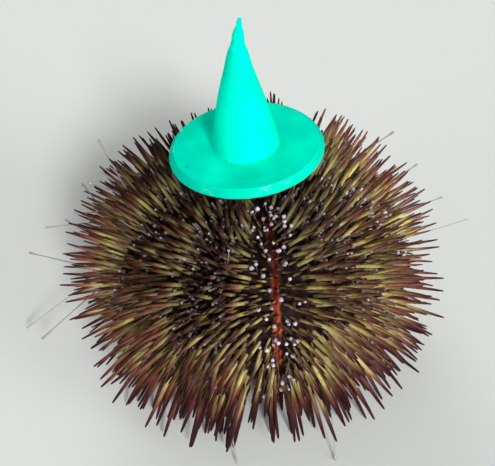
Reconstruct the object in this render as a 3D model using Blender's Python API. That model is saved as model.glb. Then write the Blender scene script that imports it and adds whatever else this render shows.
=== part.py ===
"""A variegated sea urchin, life size, with a small witch hat on its crown.

Metres, +Z up. The origin is on the floor below the middle of the shell, and the front faces -Y.
The shell is parted by thin cuts into five interambulacra and five ambulacra, with an apical disc
on top and a peristome with five teeth below. Spines and tube feet are fused to the slice of shell
that they grow from.
"""

import math
from dataclasses import dataclass

import bmesh
import bpy
import numpy as np
from mathutils import Matrix, Vector

MM = 0.001
GAP = 0.3 * MM

# Shell outline
SHELL_RADIUS = 32.0 * MM
AMBITUS_HEIGHT = 22.0 * MM
CROWN_RISE = 26.0 * MM
BASE_DROP = 15.0 * MM
CROWN_POWER = 2.0
BASE_POWER = 2.3
OUTLINE_SAMPLES = 721
NORMAL_STEP = 0.5 * MM

# Slices of the shell
BANDS = 5
FRONT_MIDLINE = math.radians(10.5)
INTERAMBULACRUM_HALF = math.radians(22.0)
AMBULACRUM_HALF = math.radians(14.0)
INTERAMBULACRUM_COLUMNS = 4
AMBULACRUM_COLUMNS = 3
ROW_STEP = 6.0 * MM

# Apical disc and mouth
APICAL_RADIUS = 5.8 * MM
APICAL_SEAT_DEPTH = 1.6 * MM
MOUTH_RADIUS = 10.0 * MM
MOUTH_SEAT_HEIGHT = 10.0 * MM
MOUTH_HOLLOW = 1.0 * MM
TEETH_RADIUS = 3.0 * MM
TEETH_TIP_HEIGHT = 5.2 * MM
TEETH = 5
ROUND_SIDES = 20

# Hat
HAT_SHIFT = -1.6 * MM
HAT_HEIGHT = 55.1 * MM
HAT_LEAN = math.radians(5.0)
HAT_TILT = math.radians(1.2)
BRIM_RADIUS = 16.6 * MM
BRIM_TOP_RADIUS = 15.6 * MM
BRIM_THICKNESS = 1.8 * MM
BRIM_STEPS = 4
CONE_RADIUS = 7.2 * MM
CONE_HEIGHT = 28.4 * MM
CONE_POWER = 0.98
CONE_RINGS = 7
TIP_BEND = 1.5 * MM
TIP_BEND_POWER = 4
HAT_SIDES = 36

# Length of the spines along a slice's outline, from the apical disc to the mouth
SPINE_STATIONS = (0.0, 0.13, 0.28, 0.58, 0.72, 0.85, 1.0)
SPINE_LENGTHS = (10.5 * MM, 11.5 * MM, 12.2 * MM, 13.5 * MM, 15.5 * MM, 12.0 * MM, 7.5 * MM)

# Spines: columns are (share of the slice's half width, size, where the column starts and ends)
RANDOM_SEED = 11
SPINE_ROW_STEP = 2.75 * MM
ROW_STAGGER = 0.25
INTERAMBULACRUM_SPINES = ((0.54, 1.0, 0.03, 0.97), (0.85, 0.86, 0.2, 0.93), (0.19, 0.6, 0.45, 0.85))
AMBULACRUM_SPINES = ((0.5, 1.0, 0.05, 0.97), (0.86, 0.82, 0.24, 0.92))
SPINE_RADIUS = 0.62 * MM
WAIST_RADIUS = 0.36 * MM
WAIST_SHARE = 0.68
LEVEL_TIP_RADIUS = 0.36 * MM
LIMB_SIDES = 3
ROOT_DEPTH = 1.5 * MM
LEAN = 0.09
LENGTH_SPREAD = 0.06
RAISED_SHARE = (0.8, 0.92)
SLENDER_SIZE = 0.9
SHORTEST_SPINE = 2.5 * MM
PLACING_TRIES = 12
NEARLY_PARALLEL = 1e-9

# Tube feet
FOOT_SHARE = 0.84
FOOT_RADIUS = 0.37 * MM
SUCKER_RADIUS = 0.66 * MM
SUCKER_HEIGHT = 0.9 * MM
FOOT_BEND = 0.05
SHORT_FOOT_STATIONS = (0.3, 0.42, 0.54, 0.66, 0.78)
SHORT_FOOT_LENGTH = (12.0 * MM, 14.5 * MM)

# Tips of the long tube feet in millimetres, with the ambulacrum and the side that each grows from
LONG_FEET = (
    (4, 1, (-36.6, 14.0, 48.0)),
    (4, 1, (-35.5, 10.5, 44.0)),
    (4, -1, (-38.5, 6.5, 41.5)),
    (4, 1, (-41.0, 9.5, 38.0)),
    (4, -1, (-42.5, 5.0, 34.5)),
    (4, 1, (-46.0, 9.0, 29.5)),
    (4, -1, (-49.5, 4.0, 31.0)),
    (4, 1, (-57.0, 7.5, 18.0)),
    (4, -1, (-57.0, -0.5, 3.5)),
    (4, -1, (-52.0, -8.0, 6.0)),
    (2, 1, (33.4, 18.0, 48.0)),
    (2, -1, (38.5, 12.0, 43.0)),
    (2, -1, (46.0, 12.0, 33.0)),
    (2, -1, (57.0, 16.0, 20.0)),
    (2, 1, (44.0, 24.0, 12.0)),
    (1, -1, (17.5, -40.5, 1.0)),
    (5, 1, (-5.0, -41.5, 1.0)),
)

# Colour and roughness of each kind of solid
INTERAMBULACRUM_FINISH = ((0.3, 0.12, 0.07), 0.5)
AMBULACRUM_FINISH = ((0.26, 0.16, 0.06), 0.5)
APICAL_FINISH = ((0.05, 0.03, 0.04), 0.5)
MOUTH_FINISH = ((0.12, 0.05, 0.06), 0.4)
TEETH_FINISH = ((0.8, 0.78, 0.7), 0.3)
HAT_FINISH = ((0.0, 0.7, 0.45), 0.35)

# Rings of the teeth: drop below the seat, and share of the radius at a ridge and at a groove
TEETH_RINGS = ((0.0, 1.0, 1.0), (1.5 * MM, 1.0, 0.85), (3.0 * MM, 0.72, 0.45))
TEETH_TIP = (0.3, 0.16)


def clear_scene():
    for item in list(bpy.data.objects):
        bpy.data.objects.remove(item, do_unlink=True)


def outline_of_shell():
    """Radius, height and arc length from the apex, over the ambitus, down to the middle of the base."""
    turn = np.linspace(0.0, math.pi, OUTLINE_SAMPLES)
    upper = turn <= math.pi / 2
    power = np.where(upper, CROWN_POWER, BASE_POWER)
    rise = np.where(upper, CROWN_RISE, -BASE_DROP)
    radius = SHELL_RADIUS * np.abs(np.sin(turn)) ** (2 / power)
    height = AMBITUS_HEIGHT + rise * np.abs(np.cos(turn)) ** (2 / power)
    steps = np.hypot(np.diff(radius), np.diff(height))
    return radius, height, np.concatenate([[0.0], np.cumsum(steps)])


OUTLINE_RADIUS, OUTLINE_HEIGHT, OUTLINE_ARC = outline_of_shell()
AMBITUS = int(np.argmax(OUTLINE_RADIUS))
APICAL_ARC = float(np.interp(APICAL_RADIUS, OUTLINE_RADIUS[:AMBITUS], OUTLINE_ARC[:AMBITUS]))
MOUTH_ARC = float(np.interp(MOUTH_RADIUS, OUTLINE_RADIUS[:AMBITUS:-1], OUTLINE_ARC[:AMBITUS:-1]))


def arc_at(share):
    """Arc length at a share of the way down a slice, from the apical disc to the mouth."""
    return APICAL_ARC + (MOUTH_ARC - APICAL_ARC) * share


def shell_point(arc):
    """Radius and height of the shell at an arc length from the apex."""
    radius = float(np.interp(arc, OUTLINE_ARC, OUTLINE_RADIUS))
    return radius, float(np.interp(arc, OUTLINE_ARC, OUTLINE_HEIGHT))


def shell_normal(arc):
    """Radial and upward part of the shell's outward normal."""
    inner = shell_point(arc - NORMAL_STEP)
    outer = shell_point(arc + NORMAL_STEP)
    run = math.hypot(outer[0] - inner[0], outer[1] - inner[1])
    return (inner[1] - outer[1]) / run, (outer[0] - inner[0]) / run


def spine_length(arc):
    share = (arc - APICAL_ARC) / (MOUTH_ARC - APICAL_ARC)
    return float(np.interp(share, SPINE_STATIONS, SPINE_LENGTHS))


def outward(azimuth):
    """Level direction at an azimuth: 0 is the front, -Y, and a quarter turn is +X."""
    return Vector((math.sin(azimuth), -math.cos(azimuth), 0.0))


def hat_frame():
    """Places the hat: its underside is the plane z = 0 of this frame."""
    turned_down = Matrix.Rotation(-HAT_LEAN, 4, "Y") @ Matrix.Rotation(HAT_TILT, 4, "X")
    return Matrix.Translation((HAT_SHIFT, 0.0, HAT_HEIGHT)) @ turned_down


def finish_material(item, finish):
    colour, roughness = finish
    material = bpy.data.materials.new(item.name + "_finish")
    material.use_nodes = True
    shader = material.node_tree.nodes["Principled BSDF"]
    shader.inputs["Base Color"].default_value = (*colour, 1.0)
    shader.inputs["Roughness"].default_value = roughness
    item.data.materials.append(material)


def object_from(name, mesh):
    """A linked object from a closed bmesh, with its faces split into triangles and turned outwards."""
    bmesh.ops.triangulate(mesh, faces=mesh.faces[:])
    bmesh.ops.recalc_face_normals(mesh, faces=mesh.faces[:])
    data = bpy.data.meshes.new(name)
    mesh.to_mesh(data)
    mesh.free()
    item = bpy.data.objects.new(name, data)
    bpy.context.scene.collection.objects.link(item)
    return item


def turned(name, outline, sides):
    """A turned solid. The outline runs from the axis out and back to it, or is a closed ring."""
    mesh = bmesh.new()
    rings = []
    for radius, height in outline:
        if radius == 0.0:
            rings.append([mesh.verts.new((0.0, 0.0, height))])
            continue
        turns = (2 * math.pi * step / sides for step in range(sides))
        rings.append([mesh.verts.new(outward(turn) * radius + Vector((0, 0, height))) for turn in turns])
    closed_ring = all(len(ring) > 1 for ring in rings)
    pairs = list(zip(rings, rings[1:]))
    if closed_ring:
        pairs.append((rings[-1], rings[0]))
    for near, far in pairs:
        for step in range(sides):
            corners = [near[step % len(near)], near[(step + 1) % len(near)]]
            corners += [far[(step + 1) % len(far)], far[step % len(far)]]
            mesh.faces.new(list(dict.fromkeys(corners)))
    return object_from(name, mesh)


def shell_outline():
    """The outer outline of the slices between the apical disc and the peristome."""
    rows = round((MOUTH_ARC - APICAL_ARC) / ROW_STEP)
    return [shell_point(arc_at(row / rows)) for row in range(1, rows)]


def slice_outline():
    """Outer outline of a slice, with the seats for the apical disc and the peristome at its ends."""
    apical_radius, apical_height = shell_point(APICAL_ARC)
    mouth_radius, mouth_height = shell_point(MOUTH_ARC)
    start = [(apical_radius, apical_height - APICAL_SEAT_DEPTH), (apical_radius, apical_height)]
    end = [(mouth_radius, mouth_height), (mouth_radius, MOUTH_SEAT_HEIGHT)]
    return start + shell_outline() + end


def shell_slice(name, middle, half_width, columns):
    """A pie slice of the shell from its axis outwards, between two upright planes."""
    outline = slice_outline()
    mesh = bmesh.new()
    grid = []
    for column in range(columns + 1):
        share = 2 * column / columns - 1
        line = []
        for radius, height in outline:
            swing = half_width - math.asin(GAP / 2 / radius)
            line.append(mesh.verts.new(outward(middle + share * swing) * radius + Vector((0, 0, height))))
        grid.append(line)
    edge = outward(middle) * (GAP / 2 / math.sin(half_width))
    top = mesh.verts.new(edge + Vector((0, 0, outline[0][1])))
    bottom = mesh.verts.new(edge + Vector((0, 0, outline[-1][1])))
    for left, right in zip(grid, grid[1:]):
        for row in range(len(outline) - 1):
            mesh.faces.new((left[row], right[row], right[row + 1], left[row + 1]))
        mesh.faces.new((top, right[0], left[0]))
        mesh.faces.new((bottom, left[-1], right[-1]))
    mesh.faces.new([top, *grid[0], bottom])
    mesh.faces.new([bottom, *reversed(grid[-1]), top])
    return object_from(name, mesh)


@dataclass
class Limb:
    """A spine or a tube foot: its path from the shell outwards and its radius at each point.

    The buried point lies straight below the first one, inside the shell.
    """

    node: str
    buried: Vector
    path: list
    radii: list
    level_tip: bool = False


def shell_frame(arc, azimuth):
    """A point of the shell with its outward normal and its directions down and across."""
    radius, height = shell_point(arc)
    radial, up = shell_normal(arc)
    level = outward(azimuth)
    point = level * radius + Vector((0.0, 0.0, height))
    normal = level * radial + Vector((0.0, 0.0, up))
    down = level * up - Vector((0.0, 0.0, radial))
    return point, normal, down, normal.cross(down)


def gap_between(limb, other):
    """The clear distance between two limbs, each a chain of straight tapered lengths."""
    closest = math.inf
    for near in range(len(limb.path) - 1):
        for far in range(len(other.path) - 1):
            closest = min(closest, stretch_gap(limb, near, other, far))
    return closest


def stretch_gap(limb, near, other, far):
    start, along = limb.path[near], limb.path[near + 1] - limb.path[near]
    origin, beside = other.path[far], other.path[far + 1] - other.path[far]
    between = start - origin
    cross, spread = along.dot(beside), along.dot(along) * beside.dot(beside)
    bend = spread - cross * cross
    share = 0.0
    if bend > NEARLY_PARALLEL * spread:
        share = (cross * beside.dot(between) - along.dot(between) * beside.dot(beside)) / bend
    share = min(1.0, max(0.0, share))
    mate = min(1.0, max(0.0, (cross * share + beside.dot(between)) / beside.dot(beside)))
    share = min(1.0, max(0.0, (cross * mate - along.dot(between)) / along.dot(along)))
    apart = (start + along * share - origin - beside * mate).length
    radius = limb.radii[near] + (limb.radii[near + 1] - limb.radii[near]) * share
    return apart - radius - other.radii[far] - (other.radii[far + 1] - other.radii[far]) * mate


def is_clear(limb, placed):
    """Whether a limb keeps the gap to those placed before it, leaving out those too far off to matter."""
    reach = (limb.path[-1] - limb.path[0]).length
    for other in placed:
        other_reach = (other.path[-1] - other.path[0]).length
        if (limb.path[0] - other.path[0]).length > reach + other_reach:
            continue
        if gap_between(limb, other) < GAP:
            return False
    return True


def length_under_hat(point, direction, length, radius):
    """The length cut so that the tip stays under the brim, where the spine would meet it."""
    to_hat = hat_frame().inverted()
    local = to_hat @ point
    heading = to_hat.to_3x3() @ direction
    if heading.z <= 0.0:
        return length
    reach = (-GAP - radius - local.z) / heading.z
    meeting = local + heading * reach
    inside = math.hypot(meeting.x, meeting.y) < BRIM_RADIUS + 2 * GAP + radius
    return min(length, reach) if inside else length


def spine_at(node, arc, azimuth, size, random):
    """One spine with a random lean. Those that reach the floor end there, level, or just above it."""
    point, normal, down, across = shell_frame(arc, azimuth)
    sway = np.clip(random.normal(0.0, LEAN, 2), -2 * LEAN, 2 * LEAN)
    direction = (normal + down * sway[0] + across * sway[1]).normalized()
    length = spine_length(arc) * (0.5 + 0.5 * size) * (1.0 - LENGTH_SPREAD * random.random())
    length = length_under_hat(point, direction, length, 0.0)
    level_tip = False
    if point.z + direction.z * length < GAP:
        to_floor = -point.z / direction.z
        level_tip = size == 1.0
        length = to_floor if level_tip else to_floor * random.uniform(*RAISED_SHARE)
    if length < SHORTEST_SPINE:
        return None
    tip = point + direction * length
    buried = point - normal * ROOT_DEPTH
    if level_tip:
        tip.z = 0.0
        return Limb(node, buried, [point, tip], [SPINE_RADIUS * size, LEVEL_TIP_RADIUS], True)
    if size < SLENDER_SIZE:
        return Limb(node, buried, [point, tip], [SPINE_RADIUS * size, 0.0])
    waist = point + direction * (length * WAIST_SHARE)
    return Limb(node, buried, [point, waist, tip], [SPINE_RADIUS * size, WAIST_RADIUS, 0.0])


def foot_between(node, root, normal, tip, side):
    """A tube foot from the shell to its sucker, bowed a little to one side."""
    along = (tip - root).normalized()
    bow = along.cross(Vector((0.0, 0.0, 1.0))).normalized() * side * FOOT_BEND * (tip - root).length
    middle = (root + tip) / 2 + bow
    neck = tip - (tip - middle).normalized() * SUCKER_HEIGHT
    radii = [FOOT_RADIUS, FOOT_RADIUS, FOOT_RADIUS, SUCKER_RADIUS]
    return Limb(node, root - normal * ROOT_DEPTH, [root, middle, neck, tip], radii)


def place_feet(placed, random):
    """Long tube feet to their tips, rooted where the shell faces the tip, and short ones in rows."""
    pitch = 2 * math.pi / BANDS
    for band, side, tip in LONG_FEET:
        azimuth = FRONT_MIDLINE + pitch * (band - 0.5) + side * FOOT_SHARE * AMBULACRUM_HALF
        goal = Vector(tip) * MM
        facing = []
        for arc in np.arange(APICAL_ARC, MOUTH_ARC, MM):
            point, normal, _, _ = shell_frame(arc, azimuth)
            facing.append(((goal - point).normalized().dot(normal), arc))
        root, normal, _, _ = shell_frame(max(facing)[1], azimuth)
        limb = foot_between(f"ambulacrum_{band}", root, normal, goal, side)
        if is_clear(limb, placed):
            placed.append(limb)
    for band in range(1, BANDS + 1):
        for row, station in enumerate(SHORT_FOOT_STATIONS):
            side = 1 if (row + band) % 2 else -1
            azimuth = FRONT_MIDLINE + pitch * (band - 0.5) + side * FOOT_SHARE * AMBULACRUM_HALF
            point, normal, down, across = shell_frame(arc_at(station), azimuth)
            sway = random.normal(0.0, LEAN, 2)
            direction = (normal + down * sway[0] + across * sway[1]).normalized()
            tip = point + direction * random.uniform(*SHORT_FOOT_LENGTH)
            limb = foot_between(f"ambulacrum_{band}", point, normal, tip, side)
            if tip.z > GAP + SUCKER_RADIUS and is_clear(limb, placed):
                placed.append(limb)


def place_spines(node, middle, half_width, columns, placed, random):
    """Rows of spines down a slice, each column beside its mirror image and half a row out of step."""
    for share, size, first, last in columns:
        rows = int((arc_at(last) - arc_at(first)) / SPINE_ROW_STEP)
        for row in range(rows + 1):
            for side in (-1, 1):
                arc = arc_at(first) + (row + ROW_STAGGER * side) * SPINE_ROW_STEP
                radius = shell_point(arc)[0]
                if radius * math.sin(half_width * (1 - share)) < SPINE_RADIUS * size + GAP:
                    continue
                azimuth = middle + side * share * half_width
                for _ in range(PLACING_TRIES):
                    limb = spine_at(node, arc, azimuth, size, random)
                    if limb and is_clear(limb, placed):
                        placed.append(limb)
                        break


def limb_object(limb, collection):
    """A closed three-sided limb, sunk into the shell at its root."""
    mesh = bmesh.new()
    points = [limb.buried] + limb.path[1:]
    rings = []
    side = (points[1] - points[0]).orthogonal()
    for index, (point, radius) in enumerate(zip(points, limb.radii)):
        if radius == 0.0:
            rings.append([mesh.verts.new(point)])
            continue
        axis = (points[min(index + 1, len(points) - 1)] - points[max(index - 1, 0)]).normalized()
        level = limb.level_tip and index == len(points) - 1
        axis = Vector((0.0, 0.0, -1.0)) if level else axis
        side = (side - axis * side.dot(axis)).normalized()
        ring = []
        for step in range(LIMB_SIDES):
            turn = 2 * math.pi * step / LIMB_SIDES
            corner = point + (side * math.cos(turn) + axis.cross(side) * math.sin(turn)) * radius
            corner.z = 0.0 if level else corner.z
            ring.append(mesh.verts.new(corner))
        rings.append(ring)
    for near, far in zip(rings, rings[1:]):
        for step in range(LIMB_SIDES):
            after = (step + 1) % LIMB_SIDES
            corners = [near[step], near[after], far[after % len(far)], far[step % len(far)]]
            mesh.faces.new(list(dict.fromkeys(corners)))
    mesh.faces.new(list(reversed(rings[0])))
    if len(rings[-1]) > 1:
        mesh.faces.new(rings[-1])
    item = object_from("limb", mesh)
    bpy.context.scene.collection.objects.unlink(item)
    collection.objects.link(item)


def keep_largest_surface(item):
    """Drops every loose closed surface but the one with the most faces."""
    mesh = bmesh.new()
    mesh.from_mesh(item.data)
    waiting = set(mesh.faces)
    surfaces = []
    while waiting:
        surface = [waiting.pop()]
        for face in surface:
            for edge in face.edges:
                fresh = [near for near in edge.link_faces if near in waiting]
                waiting.difference_update(fresh)
                surface.extend(fresh)
        surfaces.append(surface)
    surfaces.sort(key=len)
    for surface in surfaces[:-1]:
        bmesh.ops.delete(mesh, geom=surface, context="FACES")
    loose = [vertex for vertex in mesh.verts if not vertex.link_faces]
    bmesh.ops.delete(mesh, geom=loose, context="VERTS")
    mesh.to_mesh(item.data)
    mesh.free()


def fuse_limbs(item, limbs):
    """One Boolean union of a slice with all its limbs, applied, with the limbs' objects removed."""
    collection = bpy.data.collections.new(item.name + "_limbs")
    bpy.context.scene.collection.children.link(collection)
    for limb in limbs:
        limb_object(limb, collection)
    union = item.modifiers.new("union", "BOOLEAN")
    union.operation = "UNION"
    union.operand_type = "COLLECTION"
    union.collection = collection
    union.solver = "MANIFOLD"
    bpy.context.view_layer.update()
    fused = bpy.data.meshes.new_from_object(item.evaluated_get(bpy.context.evaluated_depsgraph_get()))
    item.modifiers.clear()
    item.data = fused
    for limb in list(collection.objects):
        bpy.data.objects.remove(limb, do_unlink=True)
    bpy.data.collections.remove(collection)
    keep_largest_surface(item)


def make_slices():
    """All slices, with spines and feet set on them once every foot and spine has found its place."""
    random = np.random.default_rng(RANDOM_SEED)
    pitch = 2 * math.pi / BANDS
    placed = []
    slices = []
    place_feet(placed, random)
    for band in range(BANDS):
        middle = FRONT_MIDLINE + pitch * band
        name = f"interambulacrum_{band + 1}"
        inter = shell_slice(name, middle, INTERAMBULACRUM_HALF, INTERAMBULACRUM_COLUMNS)
        finish_material(inter, INTERAMBULACRUM_FINISH)
        place_spines(name, middle, INTERAMBULACRUM_HALF, INTERAMBULACRUM_SPINES, placed, random)
        name = f"ambulacrum_{band + 1}"
        radial = shell_slice(name, middle + pitch / 2, AMBULACRUM_HALF, AMBULACRUM_COLUMNS)
        finish_material(radial, AMBULACRUM_FINISH)
        place_spines(name, middle + pitch / 2, AMBULACRUM_HALF, AMBULACRUM_SPINES, placed, random)
        slices += [inter, radial]
    for item in slices:
        fuse_limbs(item, [limb for limb in placed if limb.node == item.name])


def make_apical_disc():
    """A low domed disc in the seat at the top of the slices."""
    radius, height = shell_point(APICAL_ARC)
    rim = radius - GAP
    floor = height - APICAL_SEAT_DEPTH + GAP
    crown = AMBITUS_HEIGHT + CROWN_RISE
    outline = [(0.0, floor), (rim, floor), (rim, height), (rim / 2, (height + 2 * crown) / 3), (0.0, crown)]
    finish_material(turned("apical_disc", outline, ROUND_SIDES), APICAL_FINISH)


def make_peristome():
    """The soft ring round the mouth, sunk a little towards the teeth."""
    radius, height = shell_point(MOUTH_ARC)
    rim = radius - GAP
    top = MOUTH_SEAT_HEIGHT - GAP
    hole = TEETH_RADIUS + GAP
    outline = [(rim, height), (rim, top), (hole, top), (hole, height + MOUTH_HOLLOW)]
    finish_material(turned("peristome", outline, ROUND_SIDES), MOUTH_FINISH)


def make_teeth():
    """Five teeth that close to one point, as the mouth shows them from below."""
    top = MOUTH_SEAT_HEIGHT - GAP
    rings = [(top - drop, ridge, groove) for drop, ridge, groove in TEETH_RINGS]
    rings.append((TEETH_TIP_HEIGHT, *TEETH_TIP))
    mesh = bmesh.new()
    loops = []
    for height, ridge, groove in rings:
        loop = []
        for step in range(2 * TEETH):
            reach = TEETH_RADIUS * (ridge if step % 2 == 0 else groove)
            point = outward(FRONT_MIDLINE + math.pi * step / TEETH) * reach
            loop.append(mesh.verts.new(point + Vector((0, 0, height))))
        loops.append(loop)
    for upper, lower in zip(loops, loops[1:]):
        for step in range(2 * TEETH):
            after = (step + 1) % (2 * TEETH)
            mesh.faces.new((upper[step], upper[after], lower[after], lower[step]))
    mesh.faces.new(loops[0])
    mesh.faces.new(list(reversed(loops[-1])))
    finish_material(object_from("teeth", mesh), TEETH_FINISH)


def make_hat():
    """Brim and cone in one piece: a stepped rim, a flat brim and a full cone whose tip bends over."""
    outline = [(0.0, 0.0), (BRIM_RADIUS, 0.0)]
    for step in range(1, BRIM_STEPS + 1):
        share = step / BRIM_STEPS
        outline.append((BRIM_RADIUS + (BRIM_TOP_RADIUS - BRIM_RADIUS) * share, BRIM_THICKNESS * share))
    for ring in range(CONE_RINGS + 1):
        rise = ring / CONE_RINGS
        outline.append((CONE_RADIUS * (1 - rise) ** CONE_POWER, BRIM_THICKNESS + CONE_HEIGHT * rise))
    hat = turned("witch_hat", outline, HAT_SIDES)
    for vertex in hat.data.vertices:
        rise = max(0.0, (vertex.co.z - BRIM_THICKNESS) / CONE_HEIGHT)
        vertex.co.x += TIP_BEND * rise**TIP_BEND_POWER
    hat.data.transform(hat_frame())
    finish_material(hat, HAT_FINISH)


def main():
    clear_scene()
    make_slices()
    make_apical_disc()
    make_peristome()
    make_teeth()
    make_hat()


main()
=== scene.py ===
"""The looks of a variegated sea urchin and its small witch hat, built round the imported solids.

It is laid out as an add-on and run as a script. Lengths are in metres unless a name says otherwise.
"""

import math
from dataclasses import dataclass

import bmesh
import bpy
import numpy as np
from bpy.props import FloatProperty, FloatVectorProperty, IntProperty, PointerProperty
from mathutils import Matrix, Vector, noise


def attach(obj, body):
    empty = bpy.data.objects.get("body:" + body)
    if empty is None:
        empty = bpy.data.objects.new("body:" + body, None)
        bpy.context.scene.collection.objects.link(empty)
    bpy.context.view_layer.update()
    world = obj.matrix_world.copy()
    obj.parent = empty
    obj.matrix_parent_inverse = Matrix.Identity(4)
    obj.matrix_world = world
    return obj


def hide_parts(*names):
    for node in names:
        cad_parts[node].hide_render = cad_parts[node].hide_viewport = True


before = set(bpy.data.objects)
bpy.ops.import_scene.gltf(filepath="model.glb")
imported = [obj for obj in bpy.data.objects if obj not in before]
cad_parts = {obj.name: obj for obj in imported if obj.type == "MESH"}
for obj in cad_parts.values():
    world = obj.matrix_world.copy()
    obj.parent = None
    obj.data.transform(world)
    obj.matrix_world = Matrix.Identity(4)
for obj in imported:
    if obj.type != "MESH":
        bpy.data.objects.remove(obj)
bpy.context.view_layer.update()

bl_info = {
    "name": "Variegated sea urchin",
    "version": (1, 0, 0),
    "blender": (4, 5, 0),
    "location": "View3D > Sidebar > Urchin",
    "description": "Skin, spines, tube feet, mouth and hat of a life-size sea urchin",
    "category": "Add Mesh",
}

MM = 0.001
ROOT_BODY = "root"
QUARTER = math.pi / 2
UP = np.array([0.0, 0.0, 1.0])

# Five-fold plan of the shell, as in the solids
BANDS = 5
PITCH = 2 * math.pi / BANDS
FRONT_MIDLINE = math.radians(10.5)
INTERAMBULACRUM_HALF = math.radians(22.0)
AMBULACRUM_HALF = math.radians(14.0)
INTERAMBULACRUM_MIDLINES = [FRONT_MIDLINE + PITCH * band for band in range(BANDS)]
AMBULACRUM_MIDLINES = [FRONT_MIDLINE + PITCH * (band + 0.5) for band in range(BANDS)]
INTERAMBULACRA = [f"interambulacrum_{band + 1}" for band in range(BANDS)]
AMBULACRA = [f"ambulacrum_{band + 1}" for band in range(BANDS)]

# Outline of the shell, as in the solids
APICAL_RADIUS = 5.8 * MM
APICAL_SEAT_DEPTH = 1.6 * MM
MOUTH_RADIUS = 10.0 * MM
MOUTH_SEAT_HEIGHT = 10.0 * MM
TEETH_RADIUS = 3.0 * MM
TEETH_TIP_HEIGHT = 5.2 * MM
GAP = 0.3 * MM
CROWN_POWER = 2.0
BASE_POWER = 2.3
OUTLINE_SAMPLES = 721

# How the unwrap of the shell fills the baking map
HOME_MARGIN = 0.01
HOME_SPREAD = 0.98

# Hat, as in the solids
HAT_SHIFT = -1.6 * MM
HAT_HEIGHT = 55.1 * MM
HAT_LEAN = math.radians(5.0)
HAT_TILT = math.radians(1.2)
BRIM_RADIUS = 16.6 * MM
CONE_POWER = 0.98
TIP_BEND_POWER = 4

# Marks on the brim: layers of its rim, radii between which the rim is darkened by painted shade, and dents as
# X,
# Y and radius in millimetres
RIM_LAYERS = 5
RIM_EDGE = (BRIM_RADIUS - 1.6 * MM, BRIM_RADIUS - 0.4 * MM)
DENTS = ((-12.2, -6.9, 0.5), (-4.0, -5.8, 0.35))

# Length of the spines along the outline, from the apical disc to the mouth
SPINE_STATIONS = (0.0, 0.13, 0.28, 0.58, 0.72, 0.85, 1.0)
SPINE_LENGTHS = (11.0 * MM, 12.0 * MM, 12.5 * MM, 13.9 * MM, 16.8 * MM, 14.8 * MM, 8.0 * MM)

# Columns of spines: share of the half width, size, first and last station, the rows' phase, and how
# bright the root is
INTERAMBULACRAL_COLUMNS = (
    (0.59, 1.0, 0.02, 0.98, 0.0, 1.0),
    (0.88, 0.9, 0.1, 0.92, 0.35, 0.85),
    (0.74, 0.76, 0.3, 0.68, 0.65, 0.6),
    (0.35, 0.66, 0.3, 0.72, 0.4, 1.0),
    (0.14, 0.86, 0.6, 0.93, 0.1, 0.8),
)
AMBULACRAL_COLUMNS = (
    (0.48, 1.0, 0.04, 0.98, 0.15, 1.0),
    (0.88, 0.86, 0.14, 0.92, 0.8, 0.8),
    (0.68, 0.7, 0.36, 0.64, 0.5, 0.6),
    (0.18, 0.74, 0.5, 0.9, 0.4, 0.8),
)
SMALL_INTERAMBULACRAL = (
    (0.08, 0.34, 0.2, 0.97, 0.7, 0.2),
    (0.2, 0.44, 0.12, 0.95, 0.3, 1.0),
    (0.4, 0.4, 0.08, 0.5, 0.9, 0.4),
    (0.62, 0.38, 0.12, 0.9, 0.5, 0.1),
    (0.78, 0.44, 0.2, 0.92, 0.15, 0.0),
    (0.95, 0.36, 0.2, 0.9, 0.6, 0.1),
)
SMALL_AMBULACRAL = (
    (0.06, 0.46, 0.1, 0.97, 0.1, 0.1),
    (0.2, 0.44, 0.14, 0.92, 0.6, 0.5),
    (0.34, 0.4, 0.12, 0.95, 0.3, 0.1),
    (0.58, 0.42, 0.18, 0.9, 0.85, 0.1),
    (0.8, 0.4, 0.22, 0.9, 0.2, 0.0),
)
ROW_STAGGER = 0.25
ROW_JITTER = 0.1
COLUMN_STRAY = 0.15 * MM

# Shares of the way down where the parting ends and where it is full
PARTING_FADE = (0.7, 0.45)
PARTING_LOSS = 0.9
AMBULACRAL_PARTING = 0.35

# Small spines set anywhere: first and last station, and range of sizes
SCATTERED_STATIONS = (0.03, 0.99)
SCATTERED_SIZES = (0.2, 0.46)

# Limits and bends that all spines share
SHORTEST_SPINE = 1.5 * MM
SPINE_BOW = 0.02
DRIFT_SIZE = 9.0 * MM
BRIM_MARGIN = 0.8 * MM
LOWEST_BOWED = 14.0 * MM

# Heights between which a cast comes in, from none to all of it
LOW_HEIGHTS = (30.0 * MM, 12.0 * MM)
# The second pair is where painted green light bounced from the hat comes in
GREEN_BOUNCE_HEIGHTS = (41.5 * MM, 46.5 * MM)

# Values that every spine carries for its material. Green is painted green light bounced from the hat, and
# Shade is painted light and shade by place on the shell
SPINE_CASTS = ("Tint", "Tone", "Warm", "Blush", "Green", "Shade")

# Where one colour of a spine gives way to the next, as shares of its length
FOOT_TO_ROOT = (-0.02, 0.05)
ROOT_TO_MIDDLE = (0.16, 0.54)
MIDDLE_TO_OUTER = (0.4, 0.75)
OUTER_TO_TIP = (0.68, 1.1)
TIP_DEPTH = 0.92

# Places where the spines lean over together: azimuth, width, and lean towards greater azimuth
SWEEPS = ((math.radians(-1.0), math.radians(9.0), -0.24),)

# The stripe and its heads lie a little to one side of the front midline, and it twists near its top
STRIPE_MIDLINE = FRONT_MIDLINE - math.radians(1.3)
STRIPE_TWIST = math.radians(4.0)
TWIST_HEIGHTS = (34 * MM, 47 * MM)

# Azimuths between which the front stripe's strength gives way to that of the fainter stripes
FRONT_BAND = (0.4, 0.6)

# Places where the spines are longer or shorter than elsewhere: azimuth and its width, share of the
# way down and its width, and the change
PATCHES = (
    (math.radians(-154.0), math.radians(16.0), 0.28, 0.16, -0.2),
    (math.radians(168.0), math.radians(9.0), 0.27, 0.12, 0.12),
)

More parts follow.
